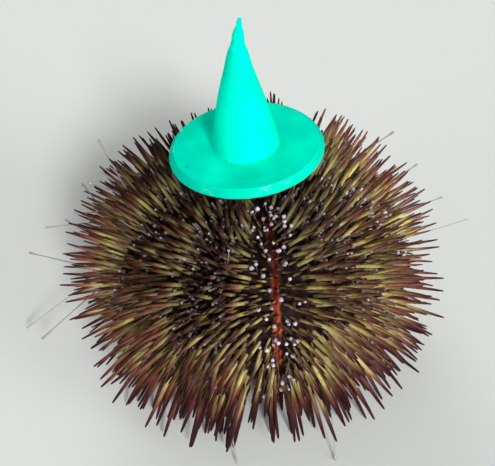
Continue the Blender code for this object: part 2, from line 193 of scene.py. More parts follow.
# How pale the heads are beside each midline, from the front one round by the right
INTERAMBULACRAL_HEADS = (0.9, 0.85, 0.4, 0.4, 0.2)
AMBULACRAL_HEADS = (0.5, 0.25, 0.2, 0.2, 0.28)

# Tips of the long tube feet in millimetres, with the ambulacrum and the side that each grows from
LONG_FEET = (
    (4, 1, (-36.6, 14.0, 48.0)),
    (4, 1, (-35.5, 10.5, 44.0)),
    (4, -1, (-38.5, 6.5, 41.5)),
    (4, 1, (-41.0, 9.5, 38.0)),
    (4, -1, (-42.5, 5.0, 34.5)),
    (4, 1, (-46.0, 9.0, 29.5)),
    (4, -1, (-49.5, 4.0, 31.0)),
    (4, 1, (-57.0, 7.5, 18.0)),
    (4, -1, (-57.0, -0.5, 3.5)),
    (4, -1, (-52.0, -8.0, 6.0)),
    (2, 1, (33.4, 18.0, 48.0)),
    (2, -1, (38.5, 12.0, 43.0)),
    (2, -1, (46.0, 12.0, 33.0)),
    (2, -1, (57.0, 16.0, 20.0)),
    (2, 1, (44.0, 24.0, 12.0)),
    (1, -1, (17.5, -40.5, 1.0)),
    (5, 1, (-5.0, -41.5, 1.0)),
)
FOOT_SHARE = 0.84


def length_property(name, description, default):
    return FloatProperty(name=name, description=description, default=default, unit="LENGTH", precision=5)


def pixel_property(name, description, default):
    return FloatProperty(name=name, description=description, default=default)


def share_property(name, description, default):
    return FloatProperty(name=name, description=description, default=default, min=0.0, soft_max=1.0)


def count_property(name, description, default, least=0):
    return IntProperty(name=name, description=description, default=default, min=least)


def colour_property(name, description, default):
    return FloatVectorProperty(
        name=name, description=description, default=default, size=3, min=0.0, max=1.0, subtype="COLOR"
    )


class UrchinShell(bpy.types.PropertyGroup):
    """Shape and colours of the skin over the shell."""

    radius: length_property("Radius", "Radius of the shell at its widest", 32.0 * MM)
    ambitus_height: length_property("Ambitus height", "Height of the widest part above the floor", 22.0 * MM)
    crown_rise: length_property("Crown rise", "Rise of the shell above its widest part", 26.0 * MM)
    base_drop: length_property("Base drop", "Drop of the shell below its widest part", 15.0 * MM)
    inset: length_property("Inset", "How far the skin lies inside the solid", 0.12 * MM)
    boss_height: length_property("Boss height", "Height of the boss under a spine", 0.5 * MM)
    boss_radius: length_property("Boss radius", "Radius of the boss under a spine", 1.0 * MM)
    # The near-black is partly the skin's own colour and partly painted shade between the spines
    skin_and_painted_shade_colour: colour_property("Skin", "Dark skin between the spines", (0.0085, 0.0042, 0.0036))
    boss_colour: colour_property("Bosses", "Skin on the bosses under the spines", (0.034, 0.014, 0.012))
    stripe_colour: colour_property("Stripe", "Core of the red stripe", (0.125, 0.004, 0.004))
    flank_colour: colour_property("Stripe flanks", "Orange-red edges of the stripe", (0.36, 0.082, 0.024))


class UrchinSpines(bpy.types.PropertyGroup):
    """Sizes and colours of the spines."""

    row_step: length_property("Row step", "Distance between rows of spines", 2.35 * MM)
    thickness: length_property("Radius", "Radius of a large spine near its root", 0.46 * MM)
    parting: share_property("Parting", "How far spines lean away from the nearest midline", 0.3)
    sway: share_property("Sway", "How far neighbouring spines lean together", 0.17)
    scatter: share_property("Scatter", "How far each spine leans on its own", 0.065)
    spread: share_property("Spread", "How much shorter than full length a spine may be", 0.14)
    front_gain: share_property("Front gain", "How much longer the low spines are at the front", 0.06)
    scattered: count_property("Scattered", "Small spines set anywhere on the skin", 1500)
    sides: count_property("Sides", "Sides of a large spine", 7, 3)
    rows: count_property("Rows", "Rows of faces along a spine", 7, 2)
    ribs: count_property("Ribs", "Fine ribs round a spine", 14, 1)
    seed: count_property("Seed", "Seed of every random draw for the spines", 11)
    root_colour: colour_property("Root", "Bright olive-yellow near the shell", (0.47, 0.4, 0.105))
    dull_colour: colour_property("Dull root", "Grey-brown root of the smaller spines", (0.2, 0.14, 0.118))
    middle_colour: colour_property("Middle", "Olive-brown half way out", (0.18, 0.12, 0.043))
    cream_colour: colour_property("Cream", "Cream that some roots turn to", (0.47, 0.39, 0.19))
    # Colour of painted green light bounced from the hat onto the spines near the top
    green_bounce_colour: colour_property("Olive", "Green that the spines near the top turn to", (0.13, 0.155, 0.06))
    mauve_colour: colour_property("Mauve", "Greyish mauve outer part", (0.195, 0.092, 0.084))
    warm_colour: colour_property("Warm", "Orange-red outer part", (0.29, 0.062, 0.035))
    blush_colour: colour_property("Blush", "Dark maroon outer part low down", (0.078, 0.009, 0.014))
    tip_colour: colour_property("Tip", "Dark tip", (0.016, 0.004, 0.0045))


class UrchinDetails(bpy.types.PropertyGroup):
    """Sizes and colours of pedicellariae, tube feet, mouth and teeth."""

    globe_radius: length_property("Globe radius", "Radius of a pedicellaria's head", 0.43 * MM)
    stalk_radius: length_property("Stalk radius", "Radius of a pedicellaria's stalk", 0.09 * MM)
    globe_colour: colour_property("Globe", "Pale lilac of the heads", (0.52, 0.45, 0.52))
    dull_globe_colour: colour_property("Dull globe", "Greyish mauve of duller heads", (0.075, 0.054, 0.056))
    stalk_colour: colour_property("Stalk", "Grey of the stalks", (0.24, 0.19, 0.22))
    dull_stalk_colour: colour_property("Dull stalk", "Brownish mauve of duller stalks", (0.1, 0.07, 0.075))
    foot_radius: length_property("Foot radius", "Radius of a tube foot's sucker", 0.36 * MM)
    foot_colour: colour_property("Foot", "Pale grey of a stretched tube foot", (0.42, 0.4, 0.42))
    stub_colour: colour_property("Stub", "Lilac-grey of a drawn-in tube foot", (0.25, 0.19, 0.2))
    dull_stub_colour: colour_property("Dull stub", "Mauve-brown of the duller ones", (0.13, 0.09, 0.085))
    seed: count_property("Seed", "Seed of the draws for feet and heads", 5)
    plate_colour: colour_property("Plates", "Brownish plates at the top", (0.05, 0.025, 0.025))
    mouth_colour: colour_property("Mouth", "Leathery skin round the mouth", (0.1, 0.046, 0.048))
    tooth_colour: colour_property("Teeth", "Off-white of the teeth", (0.78, 0.74, 0.64))


class UrchinHat(bpy.types.PropertyGroup):
    """Sizes and colours of the printed hat."""

    brim_top_radius: length_property("Flat radius", "Radius of the flat top of the brim", 15.4 * MM)
    brim_thickness: length_property("Brim thickness", "Thickness of the brim", 1.8 * MM)
    cone_radius: length_property("Cone radius", "Radius of the cone where it meets the brim", 7.2 * MM)
    cone_height: length_property("Cone height", "Height of the cone above the brim", 28.4 * MM)
    tip_bend: length_property("Tip bend", "How far the tip bends over", 1.5 * MM)
    layer: length_property("Layer", "Height of one printed layer", 0.25 * MM)
    ripple: length_property("Ripple", "Depth of the groove between two layers", 0.012 * MM)
    sides: count_property("Sides", "Sides of the turned hat", 128, 12)
    colour: colour_property("Plastic", "Turquoise green of the print", (0.0, 0.66, 0.45))


class UrchinStage(bpy.types.PropertyGroup):
    """Floor, lights and camera."""

    elevation: FloatProperty(
        name="Elevation",
        description="Angle of the camera above the shell",
        default=math.radians(43.0),
        unit="ROTATION",
    )
    distance: length_property("Distance", "From the camera to the middle of the shell", 192.0 * MM)
    focal_pixels: pixel_property("Focal length", "In pixels of the photograph", 798.0)
    centre_x: pixel_property("Centre X", "Where the shell's middle shows, in pixels", 254.0)
    centre_y: pixel_property("Centre Y", "Where the shell's middle shows, in pixels", 263.0)
    floor_colour: colour_property("Floor", "Plain pale floor", (0.6, 0.62, 0.6))


# Shell outline

class Outline:
    """The shell's outline from the apex to the middle of the base, and places on it."""

    def __init__(self, shell):
        turn = np.linspace(0.0, math.pi, OUTLINE_SAMPLES)
        upper = turn <= QUARTER
        power = np.where(upper, CROWN_POWER, BASE_POWER)
        rise = np.where(upper, shell.crown_rise, -shell.base_drop)
        self.radii = shell.radius * np.abs(np.sin(turn)) ** (2 / power)
        self.heights = shell.ambitus_height + rise * np.abs(np.cos(turn)) ** (2 / power)
        steps = np.hypot(np.diff(self.radii), np.diff(self.heights))
        self.arcs = np.concatenate([[0.0], np.cumsum(steps)])
        widest = int(np.argmax(self.radii))
        self.apical_arc = float(np.interp(APICAL_RADIUS, self.radii[:widest], self.arcs[:widest]))
        self.mouth_arc = float(np.interp(MOUTH_RADIUS, self.radii[:widest:-1], self.arcs[:widest:-1]))

    def arc_at(self, share):
        return self.apical_arc + (self.mouth_arc - self.apical_arc) * share

    def share_at(self, arc):
        return (arc - self.apical_arc) / (self.mouth_arc - self.apical_arc)

    def ring(self, arc):
        """Radius and height of the shell at an arc length from the apex."""
        return np.interp(arc, self.arcs, self.radii), np.interp(arc, self.arcs, self.heights)

    def places(self, arcs, azimuths):
        """Points, normals, and directions down and across, one row for each arc and azimuth."""
        step = 0.5 * MM
        radius, height = self.ring(arcs)
        inner_radius, inner_height = self.ring(arcs - step)
        outer_radius, outer_height = self.ring(arcs + step)
        run, fall = outer_radius - inner_radius, inner_height - outer_height
        slant = np.hypot(run, fall)
        radial, rise = (fall / slant)[:, None], (run / slant)[:, None]
        level = outward(azimuths)
        points = level * radius[:, None] + UP * height[:, None]
        normals = level * radial + UP * rise
        downs = level * rise - UP * radial
        return points, normals, downs, np.cross(normals, downs)

    def homes(self, arcs, azimuths):
        """Places on the unwrap of the shell: azimuth across and arc length up, both from 0 to 1."""
        across = HOME_MARGIN + HOME_SPREAD * np.mod(azimuths / (2 * math.pi), 1.0)
        along = HOME_MARGIN + HOME_SPREAD * arcs / self.arcs[-1]
        return np.column_stack([across, along, np.zeros(len(arcs))])


def outward(azimuths):
    """Level directions: 0 is the front, -Y, and a quarter turn is +X."""
    return np.stack([np.sin(azimuths), -np.cos(azimuths), np.zeros_like(azimuths)], axis=-1)


def hat_frame():
    """Places the hat: its underside is the plane z = 0 of this frame."""
    turned_down = Matrix.Rotation(-HAT_LEAN, 4, "Y") @ Matrix.Rotation(HAT_TILT, 4, "X")
    return Matrix.Translation((HAT_SHIFT, 0.0, HAT_HEIGHT)) @ turned_down


# Short ways to build node trees

class Nodes:
    """Adds nodes to one tree. A value is a socket, which is linked, or a plain default."""

    def __init__(self, tree):
        self.tree = tree

    def add(self, kind, inputs=None, **settings):
        node = self.tree.nodes.new(kind)
        for name, value in settings.items():
            setattr(node, name, value)
        for key, value in (inputs or {}).items():
            self.feed(node.inputs[key], value)
        return node

    def feed(self, socket, value):
        if isinstance(value, bpy.types.NodeSocket):
            self.tree.links.new(value, socket)
        else:
            socket.default_value = value

    def math(self, operation, *values):
        node = self.add("ShaderNodeMath", operation=operation)
        for socket, value in zip(node.inputs, values):
            self.feed(socket, value)
        return node.outputs[0]

    def times(self, first, second):
        return self.math("MULTIPLY", first, second)

    def plus(self, first, second):
        return self.math("ADD", first, second)

    def minus(self, first, second):
        return self.math("SUBTRACT", first, second)

    def vector(self, operation, *values):
        node = self.add("ShaderNodeVectorMath", operation=operation)
        sockets = [socket for socket in node.inputs if socket.enabled]
        for socket, value in zip(sockets, values):
            self.feed(socket, value)
        return node.outputs[0]

    def scaled(self, vector, factor):
        inputs = {"Vector": vector, "Scale": factor}
        return self.add("ShaderNodeVectorMath", inputs, operation="SCALE").outputs[0]

    def distance(self, first, second):
        return self.add("ShaderNodeVectorMath", {0: first, 1: second}, operation="DISTANCE").outputs["Value"]

    def split(self, vector):
        """The outputs X, Y and Z of a vector."""
        return self.add("ShaderNodeSeparateXYZ", {"Vector": vector}).outputs

    def joined(self, x, y, z):
        return self.add("ShaderNodeCombineXYZ", {"X": x, "Y": y, "Z": z}).outputs[0]

    def position(self):
        """Where each point of a geometry is."""
        return self.add("GeometryNodeInputPosition").outputs[0]

    def smooth(self, value, low, high):
        """0 below low, 1 above high and a smooth rise between."""
        ranged = {"Value": value, "From Min": low, "From Max": high}
        return self.add("ShaderNodeMapRange", ranged, interpolation_type="SMOOTHSTEP").outputs["Result"]

    def straight(self, value, low, high):
        """A value from 0 to 1 spread between low and high."""
        return self.plus(self.times(value, high - low), low)

    def mix(self, share, first, second):
        node = self.add("ShaderNodeMix", data_type="RGBA")
        for socket, value in ((node.inputs[0], share), (node.inputs[6], first), (node.inputs[7], second)):
            self.feed(socket, value)
        return node.outputs[2]

    def noise(self, vector, scale, detail=2.0):
        """Noise from 0 to 1, with its scale per metre."""
        inputs = {"Vector": vector, "Scale": scale, "Detail": detail}
        return self.add("ShaderNodeTexNoise", inputs).outputs["Fac"]

    def curve(self, value, points):
        """A float curve through the points given, each a pair from 0 to 1."""
        node = self.add("ShaderNodeFloatCurve", {"Value": value})
        line = node.mapping.curves[0]
        line.points[0].location = points[0]
        line.points[-1].location = points[-1]
        for point in points[1:-1]:
            line.points.new(*point)
        for point in line.points:
            point.handle_type = "VECTOR"
        node.mapping.update()
        return node.outputs[0]


def opaque(colour):
    return (*colour, 1.0)


def darker(colour, factor):
    return opaque([factor * part for part in colour])


def new_group(name, kind, inputs, outputs):
    """A node group with named sockets. It returns the group, its builder and its two end nodes."""
    tree = bpy.data.node_groups.new(name, kind)
    for direction, sockets in (("INPUT", inputs), ("OUTPUT", outputs)):
        for label, socket, default in sockets:
            made = tree.interface.new_socket(label, in_out=direction, socket_type=socket)
            if default is not None:
                made.default_value = default
    nodes = Nodes(tree)
    return tree, nodes, nodes.add("NodeGroupInput"), nodes.add("NodeGroupOutput")


def new_material(name):
    """An empty node material. It returns the material, its builder and its Principled BSDF."""
    material = bpy.data.materials.new(name)
    material.use_nodes = True
    nodes = Nodes(material.node_tree)
    return material, nodes, material.node_tree.nodes["Principled BSDF"]


# Shader groups

def midline_group():
    """Distance from the nearest interambulacral midline, whether that is the front one, and the height."""
    tree, nodes, start, end = new_group(
        "Midline distance",
        "ShaderNodeTree",
        (
            ("Object", "NodeSocketVector", None),
            ("Front", "NodeSocketFloat", STRIPE_MIDLINE),
            ("Twist", "NodeSocketFloat", STRIPE_TWIST),
        ),
        tuple((label, "NodeSocketFloat", None) for label in ("Inter", "Facing", "Height")),
    )
    split = nodes.split(start.outputs["Object"])
    x, y, height = split["X"], split["Y"], split["Z"]
    azimuth = nodes.math("ARCTAN2", x, nodes.times(y, -1.0))
    radius = nodes.math("SQRT", nodes.plus(nodes.times(x, x), nodes.times(y, y)))
    twist = nodes.times(nodes.smooth(height, *TWIST_HEIGHTS), start.outputs["Twist"])
    turned = nodes.minus(nodes.minus(azimuth, start.outputs["Front"]), twist)
    share = nodes.math("WRAP", turned, PITCH / 2, -PITCH / 2)
    aside = nodes.math("ABSOLUTE", nodes.math("WRAP", turned, math.pi, -math.pi))
    nodes.feed(end.inputs["Inter"], nodes.times(share, radius))
    nodes.feed(end.inputs["Facing"], nodes.minus(1.0, nodes.smooth(aside, *FRONT_BAND)))
    nodes.feed(end.inputs["Height"], height)
    return tree


def spine_colour_group(spines):
    """Olive root, brown middle, mauve to red outer part and dark tip, varied along and between spines, with
    painted shade and painted green light from the hat.
    """
    colours = {
        "Root": spines.root_colour,
        "Cream": spines.cream_colour,
        "Olive": spines.green_bounce_colour,
        "Dull": spines.dull_colour,
        "Middle": spines.middle_colour,
        "Mauve": spines.mauve_colour,
        "Warm colour": spines.warm_colour,
        "Blush colour": spines.blush_colour,
        "Tip": spines.tip_colour,
    }
    tree, nodes, start, end = new_group(
        "Spine colour",
        "ShaderNodeTree",
        (
            ("Object", "NodeSocketVector", None),
            *((label, "NodeSocketFloat", 0.5) for label in ("Along", *SPINE_CASTS)),
            *((label, "NodeSocketColor", opaque(value)) for label, value in colours.items()),
        ),
        (("Color", "NodeSocketColor", None), ("Mottle", "NodeSocketFloat", None)),
    )
    wanted = start.outputs
    along, blush, tint = wanted["Along"], wanted["Blush"], wanted["Tint"]
    mottle = nodes.noise(wanted["Object"], 1100.0, 3.0)
    patchy = nodes.noise(wanted["Object"], 260.0)
    # Where a place on the spine counts as being, after chance and the maroon cast have moved it
    shift = nodes.minus(nodes.times(nodes.minus(patchy, 0.5), 0.5), nodes.straight(tint, -0.06, 0.28))
    place = nodes.plus(nodes.plus(along, shift), nodes.times(blush, 0.22))
    creamy = nodes.math("MAXIMUM", nodes.smooth(patchy, 0.4, 0.6), nodes.times(blush, 0.8))
    root = nodes.mix(creamy, wanted["Root"], wanted["Cream"])
    # Near the top, painted green light bounced from the hat tints the root
    root = nodes.mix(nodes.times(wanted["Green"], 0.8), root, wanted["Olive"])
    root = nodes.mix(wanted["Tone"], wanted["Dull"], root)
    middle = nodes.mix(nodes.times(wanted["Warm"], 0.35), wanted["Middle"], wanted["Warm colour"])
    outer = nodes.mix(wanted["Warm"], wanted["Mauve"], wanted["Warm colour"])
    outer = nodes.mix(blush, outer, wanted["Blush colour"])
    # Painted green light from the hat tints the outer part, less than the root
    outer = nodes.mix(nodes.times(wanted["Green"], 0.4), outer, wanted["Olive"])
    colour = nodes.mix(nodes.smooth(place, *ROOT_TO_MIDDLE), root, middle)
    colour = nodes.mix(nodes.smooth(place, *MIDDLE_TO_OUTER), colour, outer)
    # Maroon spines, and those with more painted shade, turn dark nearer their root
    painted_shade_depth = nodes.math("MAXIMUM", nodes.minus(1.0, wanted["Shade"]), 0.0)
    nearing = nodes.plus(nodes.plus(along, nodes.times(blush, 0.34)), nodes.times(painted_shade_depth, 0.45))
    ending = nodes.times(nodes.smooth(nearing, *OUTER_TO_TIP), TIP_DEPTH)
    colour = nodes.mix(ending, colour, wanted["Tip"])
    shade = nodes.times(nodes.straight(mottle, 0.55, 1.45), nodes.straight(tint, 0.75, 1.2))
    dark_foot = nodes.straight(nodes.smooth(along, *FOOT_TO_ROOT), 0.35, 1.0)
    # Painted light and shade by place on the shell brightens or darkens the whole spine
    shade = nodes.times(nodes.times(shade, dark_foot), wanted["Shade"])
    nodes.feed(end.inputs["Color"], nodes.scaled(colour, shade))
    nodes.feed(end.inputs["Mottle"], mottle)
    return tree


def fluting_group():
    """Height of fine lengthwise ribs round a spine, crossed by faint beads."""
    defaults = {"Around": 0.0, "Along": 0.0, "Ribs": 14.0, "Beads": 30.0, "Bead height": 0.4}
    tree, nodes, start, end = new_group(
        "Fluting",
        "ShaderNodeTree",
        tuple((label, "NodeSocketFloat", value) for label, value in defaults.items()),
        (("Height", "NodeSocketFloat", None),),
    )
    wanted = start.outputs
    turn = nodes.times(wanted["Around"], wanted["Ribs"])
    ribs = nodes.math("ABSOLUTE", nodes.math("SINE", nodes.times(turn, math.pi)))
    wave = nodes.times(nodes.times(wanted["Along"], wanted["Beads"]), 2 * math.pi)
    beads = nodes.times(nodes.math("SINE", wave), nodes.smooth(wanted["Along"], 0.35, 0.8))
    nodes.feed(end.inputs["Height"], nodes.plus(ribs, nodes.times(beads, wanted["Bead height"])))
    return tree


# Geometry Nodes trees

GROWN_INPUTS = (
    ("Geometry", "NodeSocketGeometry", None),
    ("Patch", "NodeSocketFloat", 0.003),
    ("Material", "NodeSocketMaterial", None),
)


def rod_tree(name, radius_points, station_points):
    """Tapered rods on points, each along its aim, with a bow, a baking patch and a material."""
    tree, nodes, start, end = new_group(
        name,
        "GeometryNodeTree",
        (*GROWN_INPUTS, ("Sides", "NodeSocketInt", 8), ("Rows", "NodeSocketInt", 6)),
        (("Geometry", "NodeSocketGeometry", None),),
    )
    inputs = {
        "Vertices": start.outputs["Sides"],
        "Side Segments": start.outputs["Rows"],
        "Radius": 1.0,
        "Depth": 1.0,
    }
    rod = nodes.add("GeometryNodeMeshCylinder", inputs, fill_type="TRIANGLE_FAN")
    split = nodes.split(nodes.position())
    station = nodes.curve(nodes.plus(split["Z"], 0.5), station_points)
    radius = nodes.curve(station, radius_points)
    x, y = (nodes.times(split[axis], radius) for axis in "XY")
    shaped = nodes.joined(x, y, station)
    patched = store(nodes, rod.outputs["Mesh"], "patch", "FLOAT2", "CORNER", rod.outputs["UV Map"])
    marked = store(nodes, patched, "along", "FLOAT", "POINT", station)
    template = nodes.add("GeometryNodeSetPosition", {"Geometry": marked, "Position": shaped})
    girth = named(nodes, "girth")
    scale = nodes.joined(girth, girth, named(nodes, "reach"))
    placed = on_points(nodes, start.outputs["Geometry"], template.outputs[0], scale)
    along = named(nodes, "along")
    outer = nodes.times(along, along)
    bend = nodes.scaled(named(nodes, "bow", "FLOAT_VECTOR"), outer)
    climbed = nodes.times(named(nodes, "reach"), along)
    stem = nodes.scaled(named(nodes, "aim", "FLOAT_VECTOR"), climbed)
    axis = nodes.vector("ADD", named(nodes, "root", "FLOAT_VECTOR"), stem)
    beside = nodes.vector("SUBTRACT", nodes.position(), axis)
    swell = nodes.scaled(beside, nodes.times(named(nodes, "blunt"), outer))
    moved = nodes.vector("ADD", bend, swell)
    bent = nodes.add("GeometryNodeSetPosition", {"Geometry": placed, "Offset": moved})
    finish_tree(nodes, bent.outputs[0], start, end)
    return tree


def globe_tree():
    """Round three-lobed heads, each at the tip of its stalk."""
    tree, nodes, start, end = new_group(
        "Pedicellaria heads",
        "GeometryNodeTree",
        (
            *GROWN_INPUTS,
            ("Segments", "NodeSocketInt", 9),
            ("Rings", "NodeSocketInt", 6),
            ("Lobes", "NodeSocketFloat", 0.12),
            ("Fullness", "NodeSocketFloat", 0.16),
            ("Stretch", "NodeSocketFloat", 1.22),
        ),
        (("Geometry", "NodeSocketGeometry", None),),
    )
    ball = nodes.add(
        "GeometryNodeMeshUVSphere",
        {"Segments": start.outputs["Segments"], "Rings": start.outputs["Rings"], "Radius": 1.0},
    )
    split = nodes.split(nodes.position())
    angle = nodes.math("ARCTAN2", split["Y"], split["X"])
    lobes = nodes.times(nodes.math("COSINE", nodes.times(angle, 3.0)), start.outputs["Lobes"])
    # The head is a drop, fuller at its far end than where it meets the stalk
    swell = nodes.plus(nodes.plus(1.0, lobes), nodes.times(split["Z"], start.outputs["Fullness"]))
    x, y = (nodes.times(split[axis], swell) for axis in "XY")
    shaped = nodes.joined(x, y, nodes.times(split["Z"], start.outputs["Stretch"]))
    patched = store(nodes, ball.outputs["Mesh"], "patch", "FLOAT2", "CORNER", ball.outputs["UV Map"])
    height = nodes.plus(0.5, nodes.times(split["Z"], 0.5))
    marked = store(nodes, patched, "along", "FLOAT", "POINT", height)
    template = nodes.add("GeometryNodeSetPosition", {"Geometry": marked, "Position": shaped})
    lift = nodes.scaled(named(nodes, "aim", "FLOAT_VECTOR"), named(nodes, "reach"))
    lift = nodes.vector("ADD", lift, named(nodes, "bow", "FLOAT_VECTOR"))
    tips = nodes.add("GeometryNodeSetPosition", {"Geometry": start.outputs["Geometry"], "Offset": lift})
    head = named(nodes, "head")
    placed = on_points(nodes, tips.outputs[0], template.outputs[0], nodes.joined(head, head, head))
    finish_tree(nodes, placed, start, end)
    return tree


def turned_tree():
    """A solid turned round Z from the points of its outline, each with a sideways shift and a lumpiness."""
    tree, nodes, start, end = new_group(
        "Turned shape",
        "GeometryNodeTree",
        (
            ("Geometry", "NodeSocketGeometry", None),
            ("Sides", "NodeSocketInt", 96),
            ("Stations", "NodeSocketInt", 10),
            ("Lump size", "NodeSocketFloat", 700.0),
            ("Merge", "NodeSocketFloat", 0.000002),
            ("Material", "NodeSocketMaterial", None),
        ),
        (("Geometry", "NodeSocketGeometry", None),),
    )
    around = nodes.plus(start.outputs["Sides"], 1.0)
    grid = nodes.add(
        "GeometryNodeMeshGrid",
        {"Size X": 1.0, "Size Y": 1.0, "Vertices X": around, "Vertices Y": start.outputs["Stations"]},
    )
    split = nodes.split(nodes.position())
    turn = nodes.times(nodes.plus(split["X"], 0.5), 2 * math.pi)
    last = nodes.minus(start.outputs["Stations"], 1.0)
    row = nodes.math("ROUND", nodes.times(nodes.plus(split["Y"], 0.5), last))
    station = nodes.split(sampled(nodes, start, "place", row))
    extra = nodes.split(sampled(nodes, start, "extra", row))
    x = nodes.plus(nodes.times(station["X"], nodes.math("COSINE", turn)), extra["X"])
    y = nodes.times(station["X"], nodes.math("SINE", turn))
    seat = nodes.joined(x, y, station["Z"])
    inputs = {"Vector": seat, "Scale": start.outputs["Lump size"], "Detail": 2.0}
    cloud = nodes.add("ShaderNodeTexNoise", inputs)
    centred = nodes.vector("SUBTRACT", cloud.outputs["Color"], (0.5, 0.5, 0.5))
    lumpy = nodes.vector("ADD", seat, nodes.scaled(centred, extra["Y"]))
    placed = nodes.add("GeometryNodeSetPosition", {"Geometry": grid.outputs["Mesh"], "Position": lumpy})
    inputs = {"Geometry": placed.outputs[0], "Distance": start.outputs["Merge"]}
    merged = nodes.add("GeometryNodeMergeByDistance", inputs)
    smooth = nodes.add("GeometryNodeSetShadeSmooth", {"Geometry": merged.outputs[0]})
    close_tree(nodes, smooth.outputs[0], start, end)
    return tree


def sampled(nodes, start, name, index):
    """A vector attribute of the outline's point of that index."""
    value = named(nodes, name, "FLOAT_VECTOR")
    inputs = {"Geometry": start.outputs["Geometry"], "Value": value, "Index": index}
    return nodes.add("GeometryNodeSampleIndex", inputs, data_type="FLOAT_VECTOR").outputs[0]


def store(nodes, geometry, name, data_type, domain, value):
    """The geometry with a named attribute stored on it."""
    inputs = {"Geometry": geometry, "Name": name}
    node = nodes.add("GeometryNodeStoreNamedAttribute", inputs, data_type=data_type, domain=domain)
    nodes.feed(next(socket for socket in node.inputs if socket.name == "Value" and socket.enabled), value)
    return node.outputs["Geometry"]


def named(nodes, name, data_type="FLOAT"):
    node = nodes.add("GeometryNodeInputNamedAttribute", {"Name": name}, data_type=data_type)
    return node.outputs["Attribute"]


def on_points(nodes, points, template, scale):
    """Copies of a template on points, turned along their aim, and made real."""
    inputs = {
        "Primary Axis": named(nodes, "aim", "FLOAT_VECTOR"),
        "Secondary Axis": named(nodes, "side", "FLOAT_VECTOR"),
    }
    turn = nodes.add("FunctionNodeAxesToRotation", inputs, primary_axis="Z", secondary_axis="X")
    copies = nodes.add(
        "GeometryNodeInstanceOnPoints",
        {"Points": points, "Instance": template, "Rotation": turn.outputs[0], "Scale": scale},
    )
    return nodes.add("GeometryNodeRealizeInstances", {"Geometry": copies.outputs[0]}).outputs[0]


def finish_tree(nodes, geometry, start, end):
    """Stores the baking map, each copy as a small patch at its root's home, and sets the material."""
    patch = named(nodes, "patch", "FLOAT_VECTOR")
    offset = nodes.scaled(nodes.vector("SUBTRACT", patch, (0.5, 0.5, 0.0)), start.outputs["Patch"])
    baked = nodes.vector("ADD", named(nodes, "home", "FLOAT_VECTOR"), offset)
    mapped = store(nodes, geometry, "OFBake", "FLOAT2", "CORNER", baked)
    mapped = store(nodes, mapped, "around", "FLOAT", "CORNER", nodes.split(patch)["X"])
    for spare in ("patch", "aim", "side", "bow", "root", "home"):
        mapped = nodes.add("GeometryNodeRemoveAttribute", {"Geometry": mapped, "Name": spare}).outputs[0]
    smooth = nodes.add("GeometryNodeSetShadeSmooth", {"Geometry": mapped})
    close_tree(nodes, smooth.outputs[0], start, end)


def close_tree(nodes, geometry, start, end):
    solid = nodes.add("GeometryNodeRealizeInstances", {"Geometry": geometry})
    inputs = {"Geometry": solid.outputs[0], "Material": start.outputs["Material"]}
    finished = nodes.add("GeometryNodeSetMaterial", inputs)
    nodes.feed(end.inputs["Geometry"], finished.outputs[0])


# Making and registering pieces

def point_object(name, points, attributes):
    """A mesh of loose points that carries one value or vector for each point."""
    mesh = bpy.data.meshes.new(name)
    mesh.from_pydata([tuple(point) for point in points], [], [])
    for key, values in attributes.items():
        values = np.asarray(values, np.float32)
        kind, field = ("FLOAT_VECTOR", "vector") if values.ndim == 2 else ("FLOAT", "value")
        mesh.attributes.new(key, kind, "POINT").data.foreach_set(field, values.ravel())
    item = bpy.data.objects.new(name, mesh)
    bpy.context.scene.collection.objects.link(item)
    return item


def grown(name, tree, points, attributes, inputs):
    """The plain mesh that a Geometry Nodes tree makes from points."""
    seedbed = point_object(name + "_points", points, attributes)
    modifier = seedbed.modifiers.new("grow", "NODES")
    modifier.node_group = tree
    for socket in tree.interface.items_tree:
        if socket.in_out == "INPUT" and socket.name in inputs:
            modifier[socket.identifier] = inputs[socket.name]
    seedbed.update_tag()
    bpy.context.view_layer.update()
    graph = bpy.context.evaluated_depsgraph_get()
    mesh = bpy.data.meshes.new_from_object(seedbed.evaluated_get(graph))
    seedbed.modifiers.remove(modifier)
    bpy.data.objects.remove(seedbed, do_unlink=True)
    if not mesh.polygons:
        raise RuntimeError(f"{name}: the tree made no faces")
    return mesh


def new_piece(name, mesh, replaced=()):
    """Links a finished mesh as a piece that rides on the one body."""
    mesh.name = name
    item = bpy.data.objects.new(name, mesh)
    bpy.context.scene.collection.objects.link(item)
    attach(item, ROOT_BODY)
    if replaced:
        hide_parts(*replaced)
    return item


def ring_mesh(name, rings, material, ends=None):
    """A smooth mesh from rings of points. The rings close on one another, or on two end points."""
    count, columns = len(rings), len(rings[0])
    points = np.concatenate(rings)
    faces = []
    for row in range(count if ends is None else count - 1):
        near, far = row * columns, (row + 1) % count * columns
        for column in range(columns):
            after = (column + 1) % columns
            faces.append((near + column, far + column, far + after, near + after))
    if ends is not None:
        points = np.concatenate([points, np.array(ends)])
        top, bottom, last = count * columns, count * columns + 1, (count - 1) * columns
        for column in range(columns):
            after = (column + 1) % columns
            faces.append((top, column, after))
            faces.append((bottom, last + after, last + column))
    mesh = bpy.data.meshes.new(name)
    mesh.from_pydata([tuple(point) for point in points], [], faces)
    mesh.materials.append(material)
    mesh.shade_smooth()
    return mesh


def add_values(mesh, name, values):
    mesh.attributes.new(name, "FLOAT", "POINT").data.foreach_set("value", np.asarray(values, np.float32))


def unit(vectors):
    return vectors / np.linalg.norm(vectors, axis=1)[:, None]


def ramp(values, start, end):
    """0 up to start, 1 from end on, and straight between."""
    return np.clip((values - start) / (end - start), 0.0, 1.0)


def any_side(aims, random):
    """A random direction square to each aim."""
    return unit(np.cross(aims, random.normal(0.0, 1.0, aims.shape)))


# Placing spines

@dataclass
class Roots:
    """Where spines grow, how large they are, how bright their roots and how far they lean across."""

    arcs: np.ndarray
    azimuths: np.ndarray
    sizes: np.ndarray
    tones: np.ndarray
    leans: np.ndarray


